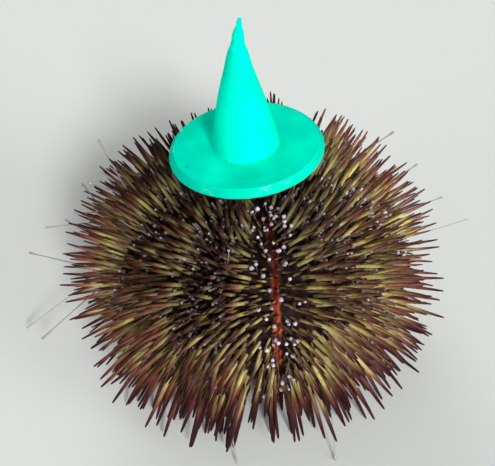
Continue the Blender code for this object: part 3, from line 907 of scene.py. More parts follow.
def column_roots(outline, spines, groups, seed):
    """Roots in columns that mirror one another about each midline, a little out of line."""
    random = np.random.default_rng(seed)
    step = spines.row_step
    rows = []
    for midlines, half_width, parting, columns in groups:
        for middle in midlines:
            for share, size, first, last, phase, tone in columns:
                start, stop = outline.arc_at(first), outline.arc_at(last)
                for side in (-1, 1):
                    arcs = np.arange(start + (phase + ROW_STAGGER * side) * step, stop, step)
                    arcs = arcs + random.normal(0.0, ROW_JITTER * step, len(arcs))
                    stray = random.normal(0.0, COLUMN_STRAY, len(arcs)) / outline.ring(arcs)[0]
                    fade = ramp(outline.share_at(arcs), *PARTING_FADE)
                    leans = side * parting * spines.parting * (1.0 - PARTING_LOSS * share) * fade
                    same = [np.full(len(arcs), value) for value in (size, tone)]
                    rows.append([arcs, middle + side * share * half_width + stray, *same, leans])
    return Roots(*(np.concatenate(values) for values in zip(*rows)))


def large_roots(outline, spines):
    """Roots of the large spines: those of the interambulacra, then those of the ambulacra."""
    inter = ((INTERAMBULACRUM_MIDLINES, INTERAMBULACRUM_HALF, 1.0, INTERAMBULACRAL_COLUMNS),)
    radial = ((AMBULACRUM_MIDLINES, AMBULACRUM_HALF, AMBULACRAL_PARTING, AMBULACRAL_COLUMNS),)
    return [column_roots(outline, spines, group, spines.seed + k) for k, group in enumerate((inter, radial))]


def small_roots(outline, spines):
    groups = (
        (INTERAMBULACRUM_MIDLINES, INTERAMBULACRUM_HALF, 1.0, SMALL_INTERAMBULACRAL),
        (AMBULACRUM_MIDLINES, AMBULACRUM_HALF, AMBULACRAL_PARTING, SMALL_AMBULACRAL),
    )
    return column_roots(outline, spines, groups, spines.seed + 2)


def scattered_roots(outline, spines):
    """Roots of short dull spines anywhere between the columns."""
    random = np.random.default_rng(spines.seed + 3)
    first, last = (outline.arc_at(share) for share in SCATTERED_STATIONS)
    arcs = random.uniform(first, last, spines.scattered)
    arcs = arcs[random.random(len(arcs)) < outline.ring(arcs)[0] / outline.radii.max()]
    count = len(arcs)
    azimuths, sizes = random.uniform(0.0, 2 * math.pi, count), random.uniform(*SCATTERED_SIZES, count)
    return Roots(arcs, azimuths, sizes, random.uniform(0.0, 0.3, count), random.normal(0.0, 0.25, count))


def cut_lengths(points, aims, lengths, clearance):
    """Lengths cut at the brim of the hat, where it lies over a spine, and at the floor."""
    to_hat = np.array(hat_frame().inverted())
    local = points @ to_hat[:3, :3].T + to_hat[:3, 3]
    heading = aims @ to_hat[:3, :3].T
    with np.errstate(divide="ignore", invalid="ignore"):
        to_brim = (-clearance - local[:, 2]) / heading[:, 2]
        to_floor = (clearance - points[:, 2]) / aims[:, 2]
    meeting = local + heading * to_brim[:, None]
    below_brim = (heading[:, 2] > 0) & (np.hypot(meeting[:, 0], meeting[:, 1]) < BRIM_RADIUS + BRIM_MARGIN)
    lengths = np.where(below_brim, np.minimum(lengths, to_brim), lengths)
    return np.where(aims[:, 2] < 0, np.minimum(lengths, to_floor), lengths)


def spine_points(outline, spines, roots, seed):
    """Roots of spines with everything that their tree and their material read."""
    random = np.random.default_rng(seed)
    count = len(roots.arcs)
    points, normals, downs, acrosses = outline.places(roots.arcs, roots.azimuths)
    # Without a seed, the noise that neighbouring spines lean by would differ in every run
    noise.seed_set(spines.seed)
    drift = np.array([noise.noise_vector(Vector(point) / DRIFT_SIZE) for point in points])
    facing = np.remainder(roots.azimuths + math.pi, 2 * math.pi) - math.pi
    low = ramp(points[:, 2], *LOW_HEIGHTS)
    sway = spines.sway * (1.0 - 0.7 * low)
    lean_down = drift[:, 0] * sway + random.normal(0.0, spines.scatter, count)
    lean_across = roots.leans + drift[:, 1] * sway + random.normal(0.0, spines.scatter, count)
    for middle, width, strength in SWEEPS:
        lean_across += strength * np.exp(-(((facing - middle) / width) ** 2))
    aims = unit(normals + downs * lean_down[:, None] + acrosses * lean_across[:, None])
    lengths = np.interp(outline.share_at(roots.arcs), SPINE_STATIONS, SPINE_LENGTHS) * roots.sizes
    lengths = lengths * (1.0 - spines.spread * random.random(count) ** 2)
    for middle, width, share, depth, change in PATCHES:
        aside, down = (facing - middle) / width, (outline.share_at(roots.arcs) - share) / depth
        lengths = lengths * (1.0 + change * np.exp(-(aside**2) - down**2))
    lengths = lengths * (1.0 + spines.front_gain * low * np.cos(facing))
    ahead = low * np.clip(np.cos(facing), 0.0, 1.0)
    girth = spines.thickness * (0.3 + 0.7 * roots.sizes) * (1.0 + 0.15 * ahead)
    lengths = cut_lengths(points, aims, lengths, 0.75 * girth)
    keep = lengths > SHORTEST_SPINE
    bow = random.normal(0.0, SPINE_BOW, (count, 2)) * lengths[:, None]
    attributes = {
        "aim": aims,
        "side": any_side(aims, random),
        "girth": girth,
        "reach": lengths,
        "bow": acrosses * bow[:, :1] + downs * np.where(points[:, 2:] > LOWEST_BOWED, bow[:, 1:], 0.0),
        "tint": random.random(count),
        "tone": np.clip(roots.tones + random.normal(0.0, 0.15, count), 0.0, 1.0),
        "warm": warmth_at(points, random),
        "blush": blush_at(points, facing, random),
        "green": painted_green_bounce_at(points, random),
        # Painted light and shade by place on the shell
        "shade": painted_shade_at(points),
        "blunt": 0.6 * ahead,
        "root": points,
        "home": outline.homes(roots.arcs, roots.azimuths),
    }
    return points[keep], {key: values[keep] for key, values in attributes.items()}


def painted_green_bounce_at(points, random):
    """Painted green light bounced from the hat, with its shade, on the spines near the top."""
    start, end = GREEN_BOUNCE_HEIGHTS
    cast = (points[:, 2] - start) / (end - start)
    return np.clip(cast + random.normal(0.0, 0.15, len(points)), 0.0, 1.0)


def warmth_at(points, random):
    """Red to orange cast of the outer part: least at the front, most on the left and behind."""
    left = ramp(points[:, 0], 6 * MM, -24 * MM)
    right = ramp(points[:, 0], 0.0, 90 * MM)
    behind = ramp(points[:, 1], 0.0, 40 * MM)
    low = ramp(points[:, 2], 34 * MM, 14 * MM)
    patches = np.array([noise.noise(Vector(point) / (8.0 * MM)) for point in points])
    cast = 0.1 + 0.8 * left * (0.55 + 0.45 * low) + 0.3 * right + 0.3 * behind + 0.6 * patches
    return np.clip(cast + random.normal(0.0, 0.15, len(points)), 0.0, 1.0)


def painted_shade_at(points):
    """Painted light and shade on the spines: paler half way up on the right, and darker high up, on the left
    and under the hat, where the hat's shadow is painted.
    """
    across, height = points[:, 0], points[:, 2]
    left = ramp(across, 4 * MM, -20 * MM)
    right = ramp(across, 2 * MM, 16 * MM)
    edge = ramp(across, 22 * MM, 30 * MM)
    raised = ramp(height, 20 * MM, 29 * MM)
    high = ramp(height, 27 * MM, 43 * MM)
    hat_painted_shadow = ramp(height, 40 * MM, 46 * MM)
    right = right * (0.35 + 0.45 * raised) * (1.0 - 0.5 * high) * (1.0 - 0.8 * edge)
    return 1.05 + right - high * (0.32 + 0.24 * left) - 0.1 * hat_painted_shadow


def blush_at(points, facing, random):
    """Maroon cast of the outer part: strongest low down at the front."""
    low = ramp(points[:, 2], *LOW_HEIGHTS)
    front = np.exp(-(((facing - math.radians(3.0)) / math.radians(38.0)) ** 2))
    return np.clip(0.1 + low * (0.5 + 0.55 * front) + random.normal(0.0, 0.13, len(points)), 0.0, 1.0)


# Materials

def attribute(nodes, name):
    return nodes.add("ShaderNodeAttribute", attribute_name=name).outputs["Fac"]


def bump(nodes, shader, height, distance):
    node = nodes.add("ShaderNodeBump", {"Height": height, "Distance": distance})
    nodes.feed(shader.inputs["Normal"], node.outputs[0])


def object_place(nodes):
    return nodes.add("ShaderNodeTexCoord").outputs["Object"]


def spine_material(spines):
    """Calcite spines in thin skin: colour by height on the spine, fine ribs with painted shade in their
    grooves and painted light on their crests, and a damp sheen.
    """
    material, nodes, shader = new_material("spine")
    along = attribute(nodes, "along")
    inputs = {label: attribute(nodes, label.lower()) for label in SPINE_CASTS}
    inputs |= {"Object": object_place(nodes), "Along": along}
    colour = nodes.add("ShaderNodeGroup", node_tree=spine_colour_group(spines))
    for label, value in inputs.items():
        nodes.feed(colour.inputs[label], value)
    flutes = nodes.add("ShaderNodeGroup", node_tree=fluting_group())
    ribbing = {"Around": attribute(nodes, "around"), "Along": along, "Ribs": float(spines.ribs)}
    for label, value in ribbing.items():
        nodes.feed(flutes.inputs[label], value)
    # Painted shade in the grooves between the ribs and painted light on their crests
    colour_with_painted_groove_light = nodes.scaled(colour.outputs["Color"], nodes.straight(flutes.outputs["Height"], 0.72, 1.12))
    nodes.feed(shader.inputs["Base Color"], colour_with_painted_groove_light)
    nodes.feed(shader.inputs["Roughness"], nodes.straight(colour.outputs["Mottle"], 0.3, 0.6))
    bump(nodes, shader, flutes.outputs["Height"], 0.03 * MM)
    shader.inputs["Specular IOR Level"].default_value = 0.08
    return material


def skin_material(shell):
    """Near-black skin, partly painted shade between the spines, with paler bosses and a jagged red stripe
    down each interambulacrum.
    """
    material, nodes, shader = new_material("shell_skin")
    position = object_place(nodes)
    midline = nodes.add("ShaderNodeGroup", node_tree=midline_group())
    nodes.feed(midline.inputs["Object"], position)
    height = midline.outputs["Height"]
    speckle = nodes.noise(position, 800.0, 4.0)
    cloud = nodes.noise(position, 170.0, 3.0)
    stitch = nodes.minus(nodes.math("PINGPONG", height, 1.2 * MM), 0.6 * MM)
    ragged = nodes.times(nodes.minus(speckle, 0.5), 1.1 * MM)
    offset = nodes.plus(midline.outputs["Inter"], nodes.plus(nodes.times(stitch, 0.35), ragged))
    away = nodes.math("ABSOLUTE", offset)
    core = nodes.minus(1.0, nodes.smooth(away, 0.18 * MM, 0.5 * MM))
    flank = nodes.minus(1.0, nodes.smooth(away, 0.5 * MM, 1.3 * MM))
    low = nodes.minus(1.0, nodes.smooth(height, 30 * MM, 42 * MM))
    flank = nodes.times(flank, nodes.straight(low, 0.15, 1.0))
    flank = nodes.times(flank, nodes.smooth(nodes.noise(position, 420.0, 3.0), 0.38, 0.56))
    core = nodes.times(core, nodes.smooth(nodes.noise(position, 600.0, 3.0), 0.3, 0.5))
    below_top = nodes.minus(1.0, nodes.smooth(height, 45.3 * MM, 46.7 * MM))
    visible = nodes.times(nodes.smooth(height, 20 * MM, 25 * MM), below_top)
    visible = nodes.times(visible, nodes.straight(midline.outputs["Facing"], 0.5, 1.0))
    # The near-black skin is partly its own colour and partly painted shade between the spines
    dark, pale = darker(shell.skin_and_painted_shade_colour, 0.4), opaque(shell.skin_and_painted_shade_colour)
    colour = nodes.mix(nodes.smooth(cloud, 0.35, 0.65), dark, pale)
    blotch = nodes.smooth(nodes.noise(position, 520.0, 4.0), 0.5, 0.66)
    colour = nodes.mix(nodes.times(blotch, 0.5), colour, opaque(shell.boss_colour))
    colour = nodes.mix(nodes.times(attribute(nodes, "boss"), 0.8), colour, opaque(shell.boss_colour))
    colour = nodes.mix(nodes.times(flank, visible), colour, opaque(shell.flank_colour))
    upper = nodes.smooth(height, 34 * MM, 44 * MM)
    red = nodes.mix(upper, opaque(shell.stripe_colour), darker(shell.stripe_colour, 0.35))
    colour = nodes.mix(nodes.times(core, visible), colour, red)
    nodes.feed(shader.inputs["Base Color"], colour)
    nodes.feed(shader.inputs["Roughness"], nodes.straight(speckle, 0.5, 0.8))
    shader.inputs["Specular IOR Level"].default_value = 0.04
    bump(nodes, shader, speckle, 0.2 * MM)
    return material


def soft_material(name, colour, dull, roughness, alpha=1.0, shade=0.5):
    """Moist soft tissue with painted shade, darker at its root than at its end, and from dull to its full
    colour by its tone.
    """
    material, nodes, shader = new_material(name)
    cloud = nodes.noise(object_place(nodes), 1200.0)
    level = nodes.plus(nodes.times(attribute(nodes, "along"), 0.8), nodes.times(cloud, 0.3))
    full = nodes.mix(attribute(nodes, "tone"), opaque(dull), opaque(colour))
    # Painted shade darkens the root
    nodes.feed(shader.inputs["Base Color"], nodes.scaled(full, nodes.straight(level, shade, 1.0)))
    nodes.feed(shader.inputs["Roughness"], nodes.straight(cloud, roughness, roughness + 0.2))
    if alpha < 1.0:
        nodes.feed(shader.inputs["Alpha"], nodes.straight(cloud, alpha, alpha + 0.2))
    shader.inputs["Subsurface Weight"].default_value = 0.2
    shader.inputs["Subsurface Radius"].default_value = (0.5 * MM, 0.4 * MM, 0.4 * MM)
    bump(nodes, shader, cloud, 0.03 * MM)
    return material


def plate_material(name, colour, groove):
    """Leathery plates or folds, darker in the grooves that the mesh marks, with fine pores."""
    material, nodes, shader = new_material(name)
    position = object_place(nodes)
    cloud = nodes.noise(position, 500.0, 3.0)
    pores = nodes.add("ShaderNodeTexVoronoi", {"Vector": position, "Scale": 2500.0}).outputs["Distance"]
    tone = nodes.mix(cloud, darker(colour, 0.6), darker(colour, 1.3))
    nodes.feed(shader.inputs["Base Color"], nodes.mix(attribute(nodes, groove), tone, darker(colour, 0.25)))
    nodes.feed(shader.inputs["Roughness"], nodes.straight(cloud, 0.4, 0.7))
    shader.inputs["Specular IOR Level"].default_value = 0.15
    bump(nodes, shader, nodes.plus(pores, cloud), 0.06 * MM)
    return material


def tooth_material(colour):
    """Off-white calcite with its grain down the tooth."""
    material, nodes, shader = new_material("tooth")
    inputs = {"Vector": object_place(nodes), "Scale": (900, 900, 200)}
    grain = nodes.noise(nodes.add("ShaderNodeMapping", inputs).outputs[0], 1.0)
    nodes.feed(shader.inputs["Base Color"], nodes.mix(grain, darker(colour, 0.7), opaque(colour)))
    nodes.feed(shader.inputs["Roughness"], nodes.straight(grain, 0.2, 0.4))
    bump(nodes, shader, grain, 0.04 * MM)
    return material


def hat_material(hat):
    """Printed plastic: even turquoise with faint streaks along the layers, painted shade on the rim, and a
    soft gloss.
    """
    material, nodes, shader = new_material("hat_plastic")
    position = object_place(nodes)
    stretched = nodes.add("ShaderNodeMapping", {"Vector": position, "Scale": (120.0, 120.0, 3000.0)})
    streaks = nodes.noise(stretched.outputs[0], 1.0, 3.0)
    grain = nodes.noise(position, 2500.0)
    clouds = nodes.noise(position, 90.0)
    tone = nodes.plus(nodes.times(streaks, 0.2), nodes.times(clouds, 0.8))
    deep, pale = darker(hat.colour, 0.84), opaque([min(1.0, 1.08 * part) for part in hat.colour])
    tint = nodes.mix(nodes.smooth(tone, 0.3, 0.7), deep, pale)
    nodes.feed(shader.inputs["Roughness"], nodes.straight(grain, 0.3, 0.5))
    shader.inputs["Specular IOR Level"].default_value = 0.0
    shader.inputs["Coat Roughness"].default_value = 0.15
    rim = nodes.smooth(nodes.distance(position, hat_frame().translation), *RIM_EDGE)
    rim = nodes.times(rim, nodes.math("LESS_THAN", nodes.split(position)["Z"], HAT_HEIGHT + 4 * MM))
    # Painted shade darkens the rim
    tint = nodes.mix(nodes.times(rim, 0.55), tint, darker(hat.colour, 0.62))
    glints = nodes.smooth(nodes.noise(position, 900.0, 4.0), 0.5, 0.7)
    nodes.feed(shader.inputs["Coat Weight"], nodes.times(nodes.times(rim, glints), 0.6))
    height = nodes.plus(nodes.times(streaks, 0.3), nodes.times(grain, 0.5))
    for x, y, radius in DENTS:
        place = hat_frame() @ Vector((x * MM, y * MM, hat.brim_thickness))
        away = nodes.distance(position, place)
        dent = nodes.minus(1.0, nodes.smooth(away, 0.4 * radius * MM, radius * MM))
        tint = nodes.mix(nodes.times(dent, 0.6), tint, darker(hat.colour, 0.15))
        height = nodes.minus(height, nodes.times(dent, 4.0))
    nodes.feed(shader.inputs["Base Color"], tint)
    bump(nodes, shader, height, 0.02 * MM)
    return material


# Operators, one for each piece or group of pieces

class URCHIN_OT_skin(bpy.types.Operator):
    """One skin over the shell, with a low boss under every large spine"""

    bl_idname = "urchin.skin"
    bl_label = "Skin"
    rows, columns = 165, 400

    def execute(self, context):
        shell, spines = context.scene.urchin_shell, context.scene.urchin_spines
        outline = Outline(shell)
        rows, columns = self.rows, self.columns
        arcs = np.linspace(outline.apical_arc, outline.mouth_arc, rows)
        azimuths = np.linspace(0.0, 2 * math.pi, columns, endpoint=False)
        boss = np.zeros((rows, columns))
        for roots in large_roots(outline, spines):
            self.raise_bosses(outline, shell, roots, arcs, azimuths, boss)
        points, normals, _, _ = outline.places(np.repeat(arcs, columns), np.tile(azimuths, rows))
        points = points + normals * (boss.ravel() * shell.boss_height - shell.inset)[:, None]
        rings = list(points.reshape(rows, columns, 3))
        level = outward(azimuths)
        apical_height = float(outline.ring(outline.apical_arc)[1])
        seat = apical_height - APICAL_SEAT_DEPTH
        top_ring = level * (APICAL_RADIUS - shell.inset) + UP * seat
        low_ring = level * (MOUTH_RADIUS - shell.inset) + UP * MOUTH_SEAT_HEIGHT
        ends = ((0.0, 0.0, seat), (0.0, 0.0, MOUTH_SEAT_HEIGHT))
        mesh = ring_mesh("shell_skin", [top_ring, *rings, low_ring], skin_material(shell), ends)
        margin = np.zeros(columns)
        add_values(mesh, "boss", np.concatenate([margin, boss.ravel(), margin, (0.0, 0.0)]))
        new_piece("shell_skin", mesh, INTERAMBULACRA + AMBULACRA)
        return {"FINISHED"}

    def raise_bosses(self, outline, shell, roots, arcs, azimuths, boss):
        """Adds a round boss to the relief for each spine, looking only at the points near it."""
        columns = len(azimuths)
        turn_step = azimuths[1] - azimuths[0]
        for arc, azimuth, size in zip(roots.arcs, roots.azimuths, roots.sizes):
            radius = float(outline.ring(arc)[0])
            reach = shell.boss_radius * (0.5 + 0.5 * size)
            near_rows = np.flatnonzero(np.abs(arcs - arc) < reach)
            spread = int(reach / radius / turn_step) + 1
            near_columns = np.arange(-spread, spread + 1) + round(azimuth / turn_step)
            beside = (near_columns * turn_step - azimuth) * radius
            away = np.hypot(beside[None, :], (arcs[near_rows] - arc)[:, None]) / reach
            window = np.ix_(near_rows, near_columns % columns)
            boss[window] = np.maximum(boss[window], size * np.clip(1.0 - away**2, 0.0, 1.0))


class URCHIN_OT_spines(bpy.types.Operator):
    """Large and small spines in columns down the shell"""

    bl_idname = "urchin.spines"
    bl_label = "Spines"

    def execute(self, context):
        outline = Outline(context.scene.urchin_shell)
        spines = context.scene.urchin_spines
        # Share of the way up a spine, and its radius there as a share of the full one
        radii = (
            (0.0, 0.85),
            (0.03, 1.1),
            (0.07, 0.95),
            (0.3, 0.95),
            (0.6, 0.84),
            (0.85, 0.58),
            (0.97, 0.38),
            (1.0, 0.2),
        )
        last = len(radii) - 1
        tree = rod_tree("Spine", radii, [(row / last, station) for row, (station, _) in enumerate(radii)])
        material = spine_material(spines)
        inter, radial = large_roots(outline, spines)
        large, small = (spines.sides, spines.rows), (5, 5)
        for name, roots, (sides, rows), replaced in (
            ("interambulacral_spines", inter, large, INTERAMBULACRA),
            ("ambulacral_spines", radial, large, AMBULACRA),
            ("small_spines", small_roots(outline, spines), small, INTERAMBULACRA + AMBULACRA),
            ("scattered_spines", scattered_roots(outline, spines), small, INTERAMBULACRA + AMBULACRA),
        ):
            points, attributes = spine_points(outline, spines, roots, spines.seed + sides + len(name))
            inputs = {"Sides": sides, "Rows": rows, "Material": material}
            new_piece(name, grown(name, tree, points, attributes, inputs), replaced)
        return {"FINISHED"}


class URCHIN_OT_pedicellariae(bpy.types.Operator):
    """Pale heads on thin stalks, thickest along the midlines"""

    bl_idname = "urchin.pedicellariae"
    bl_label = "Pedicellariae"

    def execute(self, context):
        details = context.scene.urchin_details
        outline = Outline(context.scene.urchin_shell)
        random = np.random.default_rng(details.seed)
        arcs, azimuths, sizes, tones = self.places(outline, random)
        count = len(arcs)
        points, normals, downs, acrosses = outline.places(arcs, azimuths)
        lean = random.normal(0.0, 0.22, (count, 2))
        aims = unit(normals + downs * lean[:, :1] + acrosses * lean[:, 1:])
        lengths = cut_lengths(points, aims, random.uniform(1.4 * MM, 4.2 * MM, count), 0.5 * MM)
        heads = details.globe_radius * sizes * (0.88 + 0.3 * tones)
        attributes = {
            "aim": aims,
            "side": any_side(aims, random),
            "girth": details.stalk_radius * random.uniform(0.8, 1.3, count),
            "reach": lengths,
            "head": heads * random.uniform(0.64, 1.08, count),
            "tone": np.clip(tones + random.normal(-0.05, 0.25, count), 0.0, 1.0),
            "bow": random.normal(0.0, 0.06, (count, 3)) * lengths[:, None],
            "home": outline.homes(arcs, azimuths),
        }
        stalk = rod_tree("Stalk", ((0.0, 1.0), (0.5, 0.8), (1.0, 1.0)), ((0.0, 0.0), (1.0, 1.0)))
        material = soft_material("pedicellaria_stalk", details.stalk_colour, details.dull_stalk_colour, 0.5)
        inputs = {"Sides": 5, "Rows": 4, "Material": material}
        mesh = grown("pedicellaria_stalks", stalk, points, attributes, inputs)
        new_piece("pedicellaria_stalks", mesh)
        colours = details.globe_colour, details.dull_globe_colour
        inputs = {"Material": soft_material("pedicellaria_head", *colours, 0.45, shade=0.55)}
        mesh = grown("pedicellaria_heads", globe_tree(), points, attributes, inputs)
        new_piece("pedicellaria_heads", mesh)
        return {"FINISHED"}

    def places(self, outline, random):
        """Arc, azimuth, size and tone of each head: beside the midlines, some in pairs, and some anywhere."""
        # Midlines, chance of a head at each step, size, tones, farthest from the midline, share of the
        # tone at the top
        groups = (
            (INTERAMBULACRUM_MIDLINES, 0.95, 1.0, INTERAMBULACRAL_HEADS, 4.2 * MM, 1.0),
            (AMBULACRUM_MIDLINES, 0.85, 0.88, AMBULACRAL_HEADS, 1.7 * MM, 0.7322),
        )
        step, jitter, nearest, paired = 1.4 * MM, 0.6 * MM, 0.3 * MM, 0.3
        found = []
        for midlines, chance, size, tones, farthest, top_tone in groups:
            for middle, brightness in zip(midlines, tones):
                centre = STRIPE_MIDLINE if middle == FRONT_MIDLINE else middle
                for arc in np.arange(outline.arc_at(0.11), outline.arc_at(0.8), step):
                    tone = brightness * min(1.0, top_tone + 1.44 * outline.share_at(arc))
                    for side in (-1, 1):
                        if random.random() > chance:
                            continue
                        place = arc + random.normal(0.0, jitter)
                        offset = side * random.uniform(nearest, farthest)
                        found.append((place, centre, offset, size, tone))
                        if random.random() < paired:
                            beside = offset + 0.9 * MM * side
                            found.append((place + 0.5 * MM, centre, beside, 0.9 * size, tone))
        anywhere, near_top = 200, 12
        for _ in range(anywhere):
            place = outline.arc_at(random.uniform(0.05, 0.9))
            found.append((place, random.uniform(0, 2 * math.pi), 0.0, 0.65, 0.1))
        for _ in range(near_top):
            place = outline.arc_at(random.uniform(0.085, 0.15))
            found.append((place, STRIPE_MIDLINE, random.normal(0.6, 0.6) * MM, 0.95, 0.6))
        arcs, middles, offsets, sizes, tones = np.array(found).T
        return arcs, middles + offsets / outline.ring(arcs)[0], sizes, tones


class URCHIN_OT_tube_feet(bpy.types.Operator):
    """Tube feet along the edges of the ambulacra: some stretched out and see-through, most drawn in"""

    bl_idname = "urchin.tube_feet"
    bl_label = "Tube feet"

    def execute(self, context):
        details = context.scene.urchin_details
        outline = Outline(context.scene.urchin_shell)
        random = np.random.default_rng(details.seed + 1)
        radii = ((0.0, 0.6), (0.3, 0.5), (0.85, 0.4), (0.94, 0.44), (0.965, 1.0), (0.99, 1.0), (1.0, 0.5))
        stations = ((0.0, 0.0), (0.3, 0.3), (0.6, 0.85), (0.7, 0.94), (0.8, 0.965), (0.9, 0.99), (1.0, 1.0))
        tree = rod_tree("Tube foot", radii, stations)
        material = soft_material("tube_foot", details.foot_colour, details.stub_colour, 0.25, alpha=0.45)
        stretched = self.ranked_feet(outline, random, 0.04, (6.0 * MM, 12.0 * MM))
        stretched = [np.concatenate(pair) for pair in zip(self.long_feet(outline), stretched)]
        self.plant(outline, details, random, "tube_feet", tree, material, 1.0, stretched)
        stub_radii = ((0.0, 0.7), (0.5, 0.95), (0.85, 0.7), (0.97, 0.95), (1.0, 0.5))
        stub_stations = ((0.0, 0.0), (0.25, 0.3), (0.5, 0.7), (0.75, 0.9), (1.0, 1.0))
        tree = rod_tree("Drawn-in tube foot", stub_radii, stub_stations)
        material = soft_material("drawn_in_tube_foot", details.stub_colour, details.dull_stub_colour, 0.4)
        drawn_in = self.ranked_feet(outline, random, 1.0, (2.0 * MM, 5.6 * MM))
        self.plant(outline, details, random, "drawn_in_tube_feet", tree, material, 1.0, drawn_in)
        by_mouth = self.mouth_feet(outline)
        self.plant(outline, details, random, "mouth_tube_feet", tree, material, 1.3, by_mouth, sunk=1.3 * MM)
        return {"FINISHED"}

    def mouth_feet(self, outline):
        """A pair of short feet in front of each ambulacrum, on the skin round the mouth."""
        azimuths = np.array([middle + side * 0.17 for middle in AMBULACRUM_MIDLINES for side in (-1, 1)])
        arcs = np.full(len(azimuths), outline.mouth_arc + 3.6 * MM)
        _, normals, downs, _ = outline.places(arcs, azimuths)
        return arcs, azimuths, unit(normals - 0.5 * downs), np.full(len(arcs), 3.4 * MM)

    def ranked_feet(self, outline, random, chance, reach):
        """Feet in zigzag rows down both edges of every ambulacrum."""
        sets = []
        for middle in AMBULACRUM_MIDLINES:
            for side in (-1, 1):
                arcs = outline.arc_at(np.arange(0.06, 0.97, 0.01))
                arcs = arcs[random.random(len(arcs)) < chance]
                azimuths = middle + side * random.uniform(0.62, 0.95, len(arcs)) * AMBULACRUM_HALF
                _, normals, downs, acrosses = outline.places(arcs, azimuths)
                lean = random.normal(0.0, 0.18, (len(arcs), 2))
                aims = unit(normals + downs * lean[:, :1] + acrosses * lean[:, 1:])
                sets.append([arcs, azimuths, aims, random.uniform(*reach, len(arcs))])
        return [np.concatenate(values) for values in zip(*sets)]

    def plant(self, outline, details, random, name, tree, material, thickness, feet, sunk=0.0):
        arcs, azimuths, aims, lengths = feet
        count = len(arcs)
        points, normals, _, acrosses = outline.places(arcs, azimuths)
        points = points - normals * sunk
        lengths = cut_lengths(points, aims, lengths, 0.5 * MM)
        droop = np.outer(lengths * 0.04, -UP) * (points[:, 2:] > LOWEST_BOWED)
        attributes = {
            "aim": aims,
            "side": any_side(aims, random),
            "girth": thickness * details.foot_radius * random.uniform(0.85, 1.15, count),
            "reach": lengths,
            "bow": acrosses * (random.normal(0.0, 0.07, count) * lengths)[:, None] + droop,
            "tone": random.random(count) ** 1.2,
            "home": outline.homes(arcs, azimuths),
        }
        mesh = grown(name, tree, points, attributes, {"Sides": 6, "Rows": 8, "Material": material})
        new_piece(name, mesh)

    def long_feet(self, outline):
        """Root, aim and length of each long foot, rooted where the shell faces its tip."""
        arcs, azimuths, aims, lengths = [], [], [], []
        for band, side, tip in LONG_FEET:
            azimuth = AMBULACRUM_MIDLINES[band - 1] + side * FOOT_SHARE * AMBULACRUM_HALF
            choices = np.arange(outline.apical_arc, outline.mouth_arc, MM)
            points, normals, _, _ = outline.places(choices, np.full(len(choices), azimuth))
            ways = np.array(tip) * MM - points
            best = int(np.argmax((unit(ways) * normals).sum(axis=1)))
            arcs.append(choices[best])
            azimuths.append(azimuth)
            aims.append(unit(ways)[best])
            lengths.append(np.linalg.norm(ways[best]))
        return arcs, azimuths, aims, lengths


class URCHIN_OT_apical_plates(bpy.types.Operator):
    """Ten plates round a small middle field, on top of the shell under the hat"""

    bl_idname = "urchin.apical_plates"
    bl_label = "Apical plates"

    def execute(self, context):
        shell, details = context.scene.urchin_shell, context.scene.urchin_details
        outline = Outline(shell)
        rim = APICAL_RADIUS - GAP
        rows, columns = 40, 120
        azimuths = np.linspace(0.0, 2 * math.pi, columns, endpoint=False)
        level = outward(azimuths)
        # Middles of the large plates, of the small ones outside them, and of the field inside them
        field = np.linspace(0.2, 0.2 + 2 * math.pi, 7, endpoint=False)
        sites = np.concatenate(
            [
                outward(np.array(INTERAMBULACRUM_MIDLINES)) * 3.7 * MM,
                outward(np.array(AMBULACRUM_MIDLINES)) * 5.2 * MM,
                outward(field) * 1.5 * MM,
                np.zeros((1, 3)),
            ]
        )
        # How much larger or smaller the plates of each kind are than an even share
        shares = np.repeat((0.25, -0.35, -0.5), (BANDS, BANDS, len(field) + 1)) * MM
        rings, seams = [], []
        widest = int(np.argmax(outline.radii))
        for radius in np.linspace(0.1 * MM, rim, rows):
            points = level * radius
            away = np.sort(np.linalg.norm(points[:, None] - sites[None], axis=2) - shares, axis=1)
            seam = np.exp(-(((away[:, 1] - away[:, 0]) / (0.35 * MM)) ** 2))
            height = np.interp(radius, outline.radii[:widest], outline.heights[:widest])
            points[:, 2] = height - 0.1 * MM - 0.18 * MM * seam
            rings.append(points)
            seams.append(seam)
        base = float(outline.ring(outline.apical_arc)[1]) - APICAL_SEAT_DEPTH + GAP
        rings.append(level * rim + UP * base)
        seams.append(np.ones(columns))
        ends = ((0.0, 0.0, rings[0][0, 2]), (0.0, 0.0, base))
        material = plate_material("apical_plates", details.plate_colour, "groove")
        mesh = ring_mesh("apical_plates", rings, material, ends)
        add_values(mesh, "groove", np.concatenate([*seams, (0.0, 1.0)]))
        new_piece("apical_plates", mesh, ["apical_disc"])
        return {"FINISHED"}


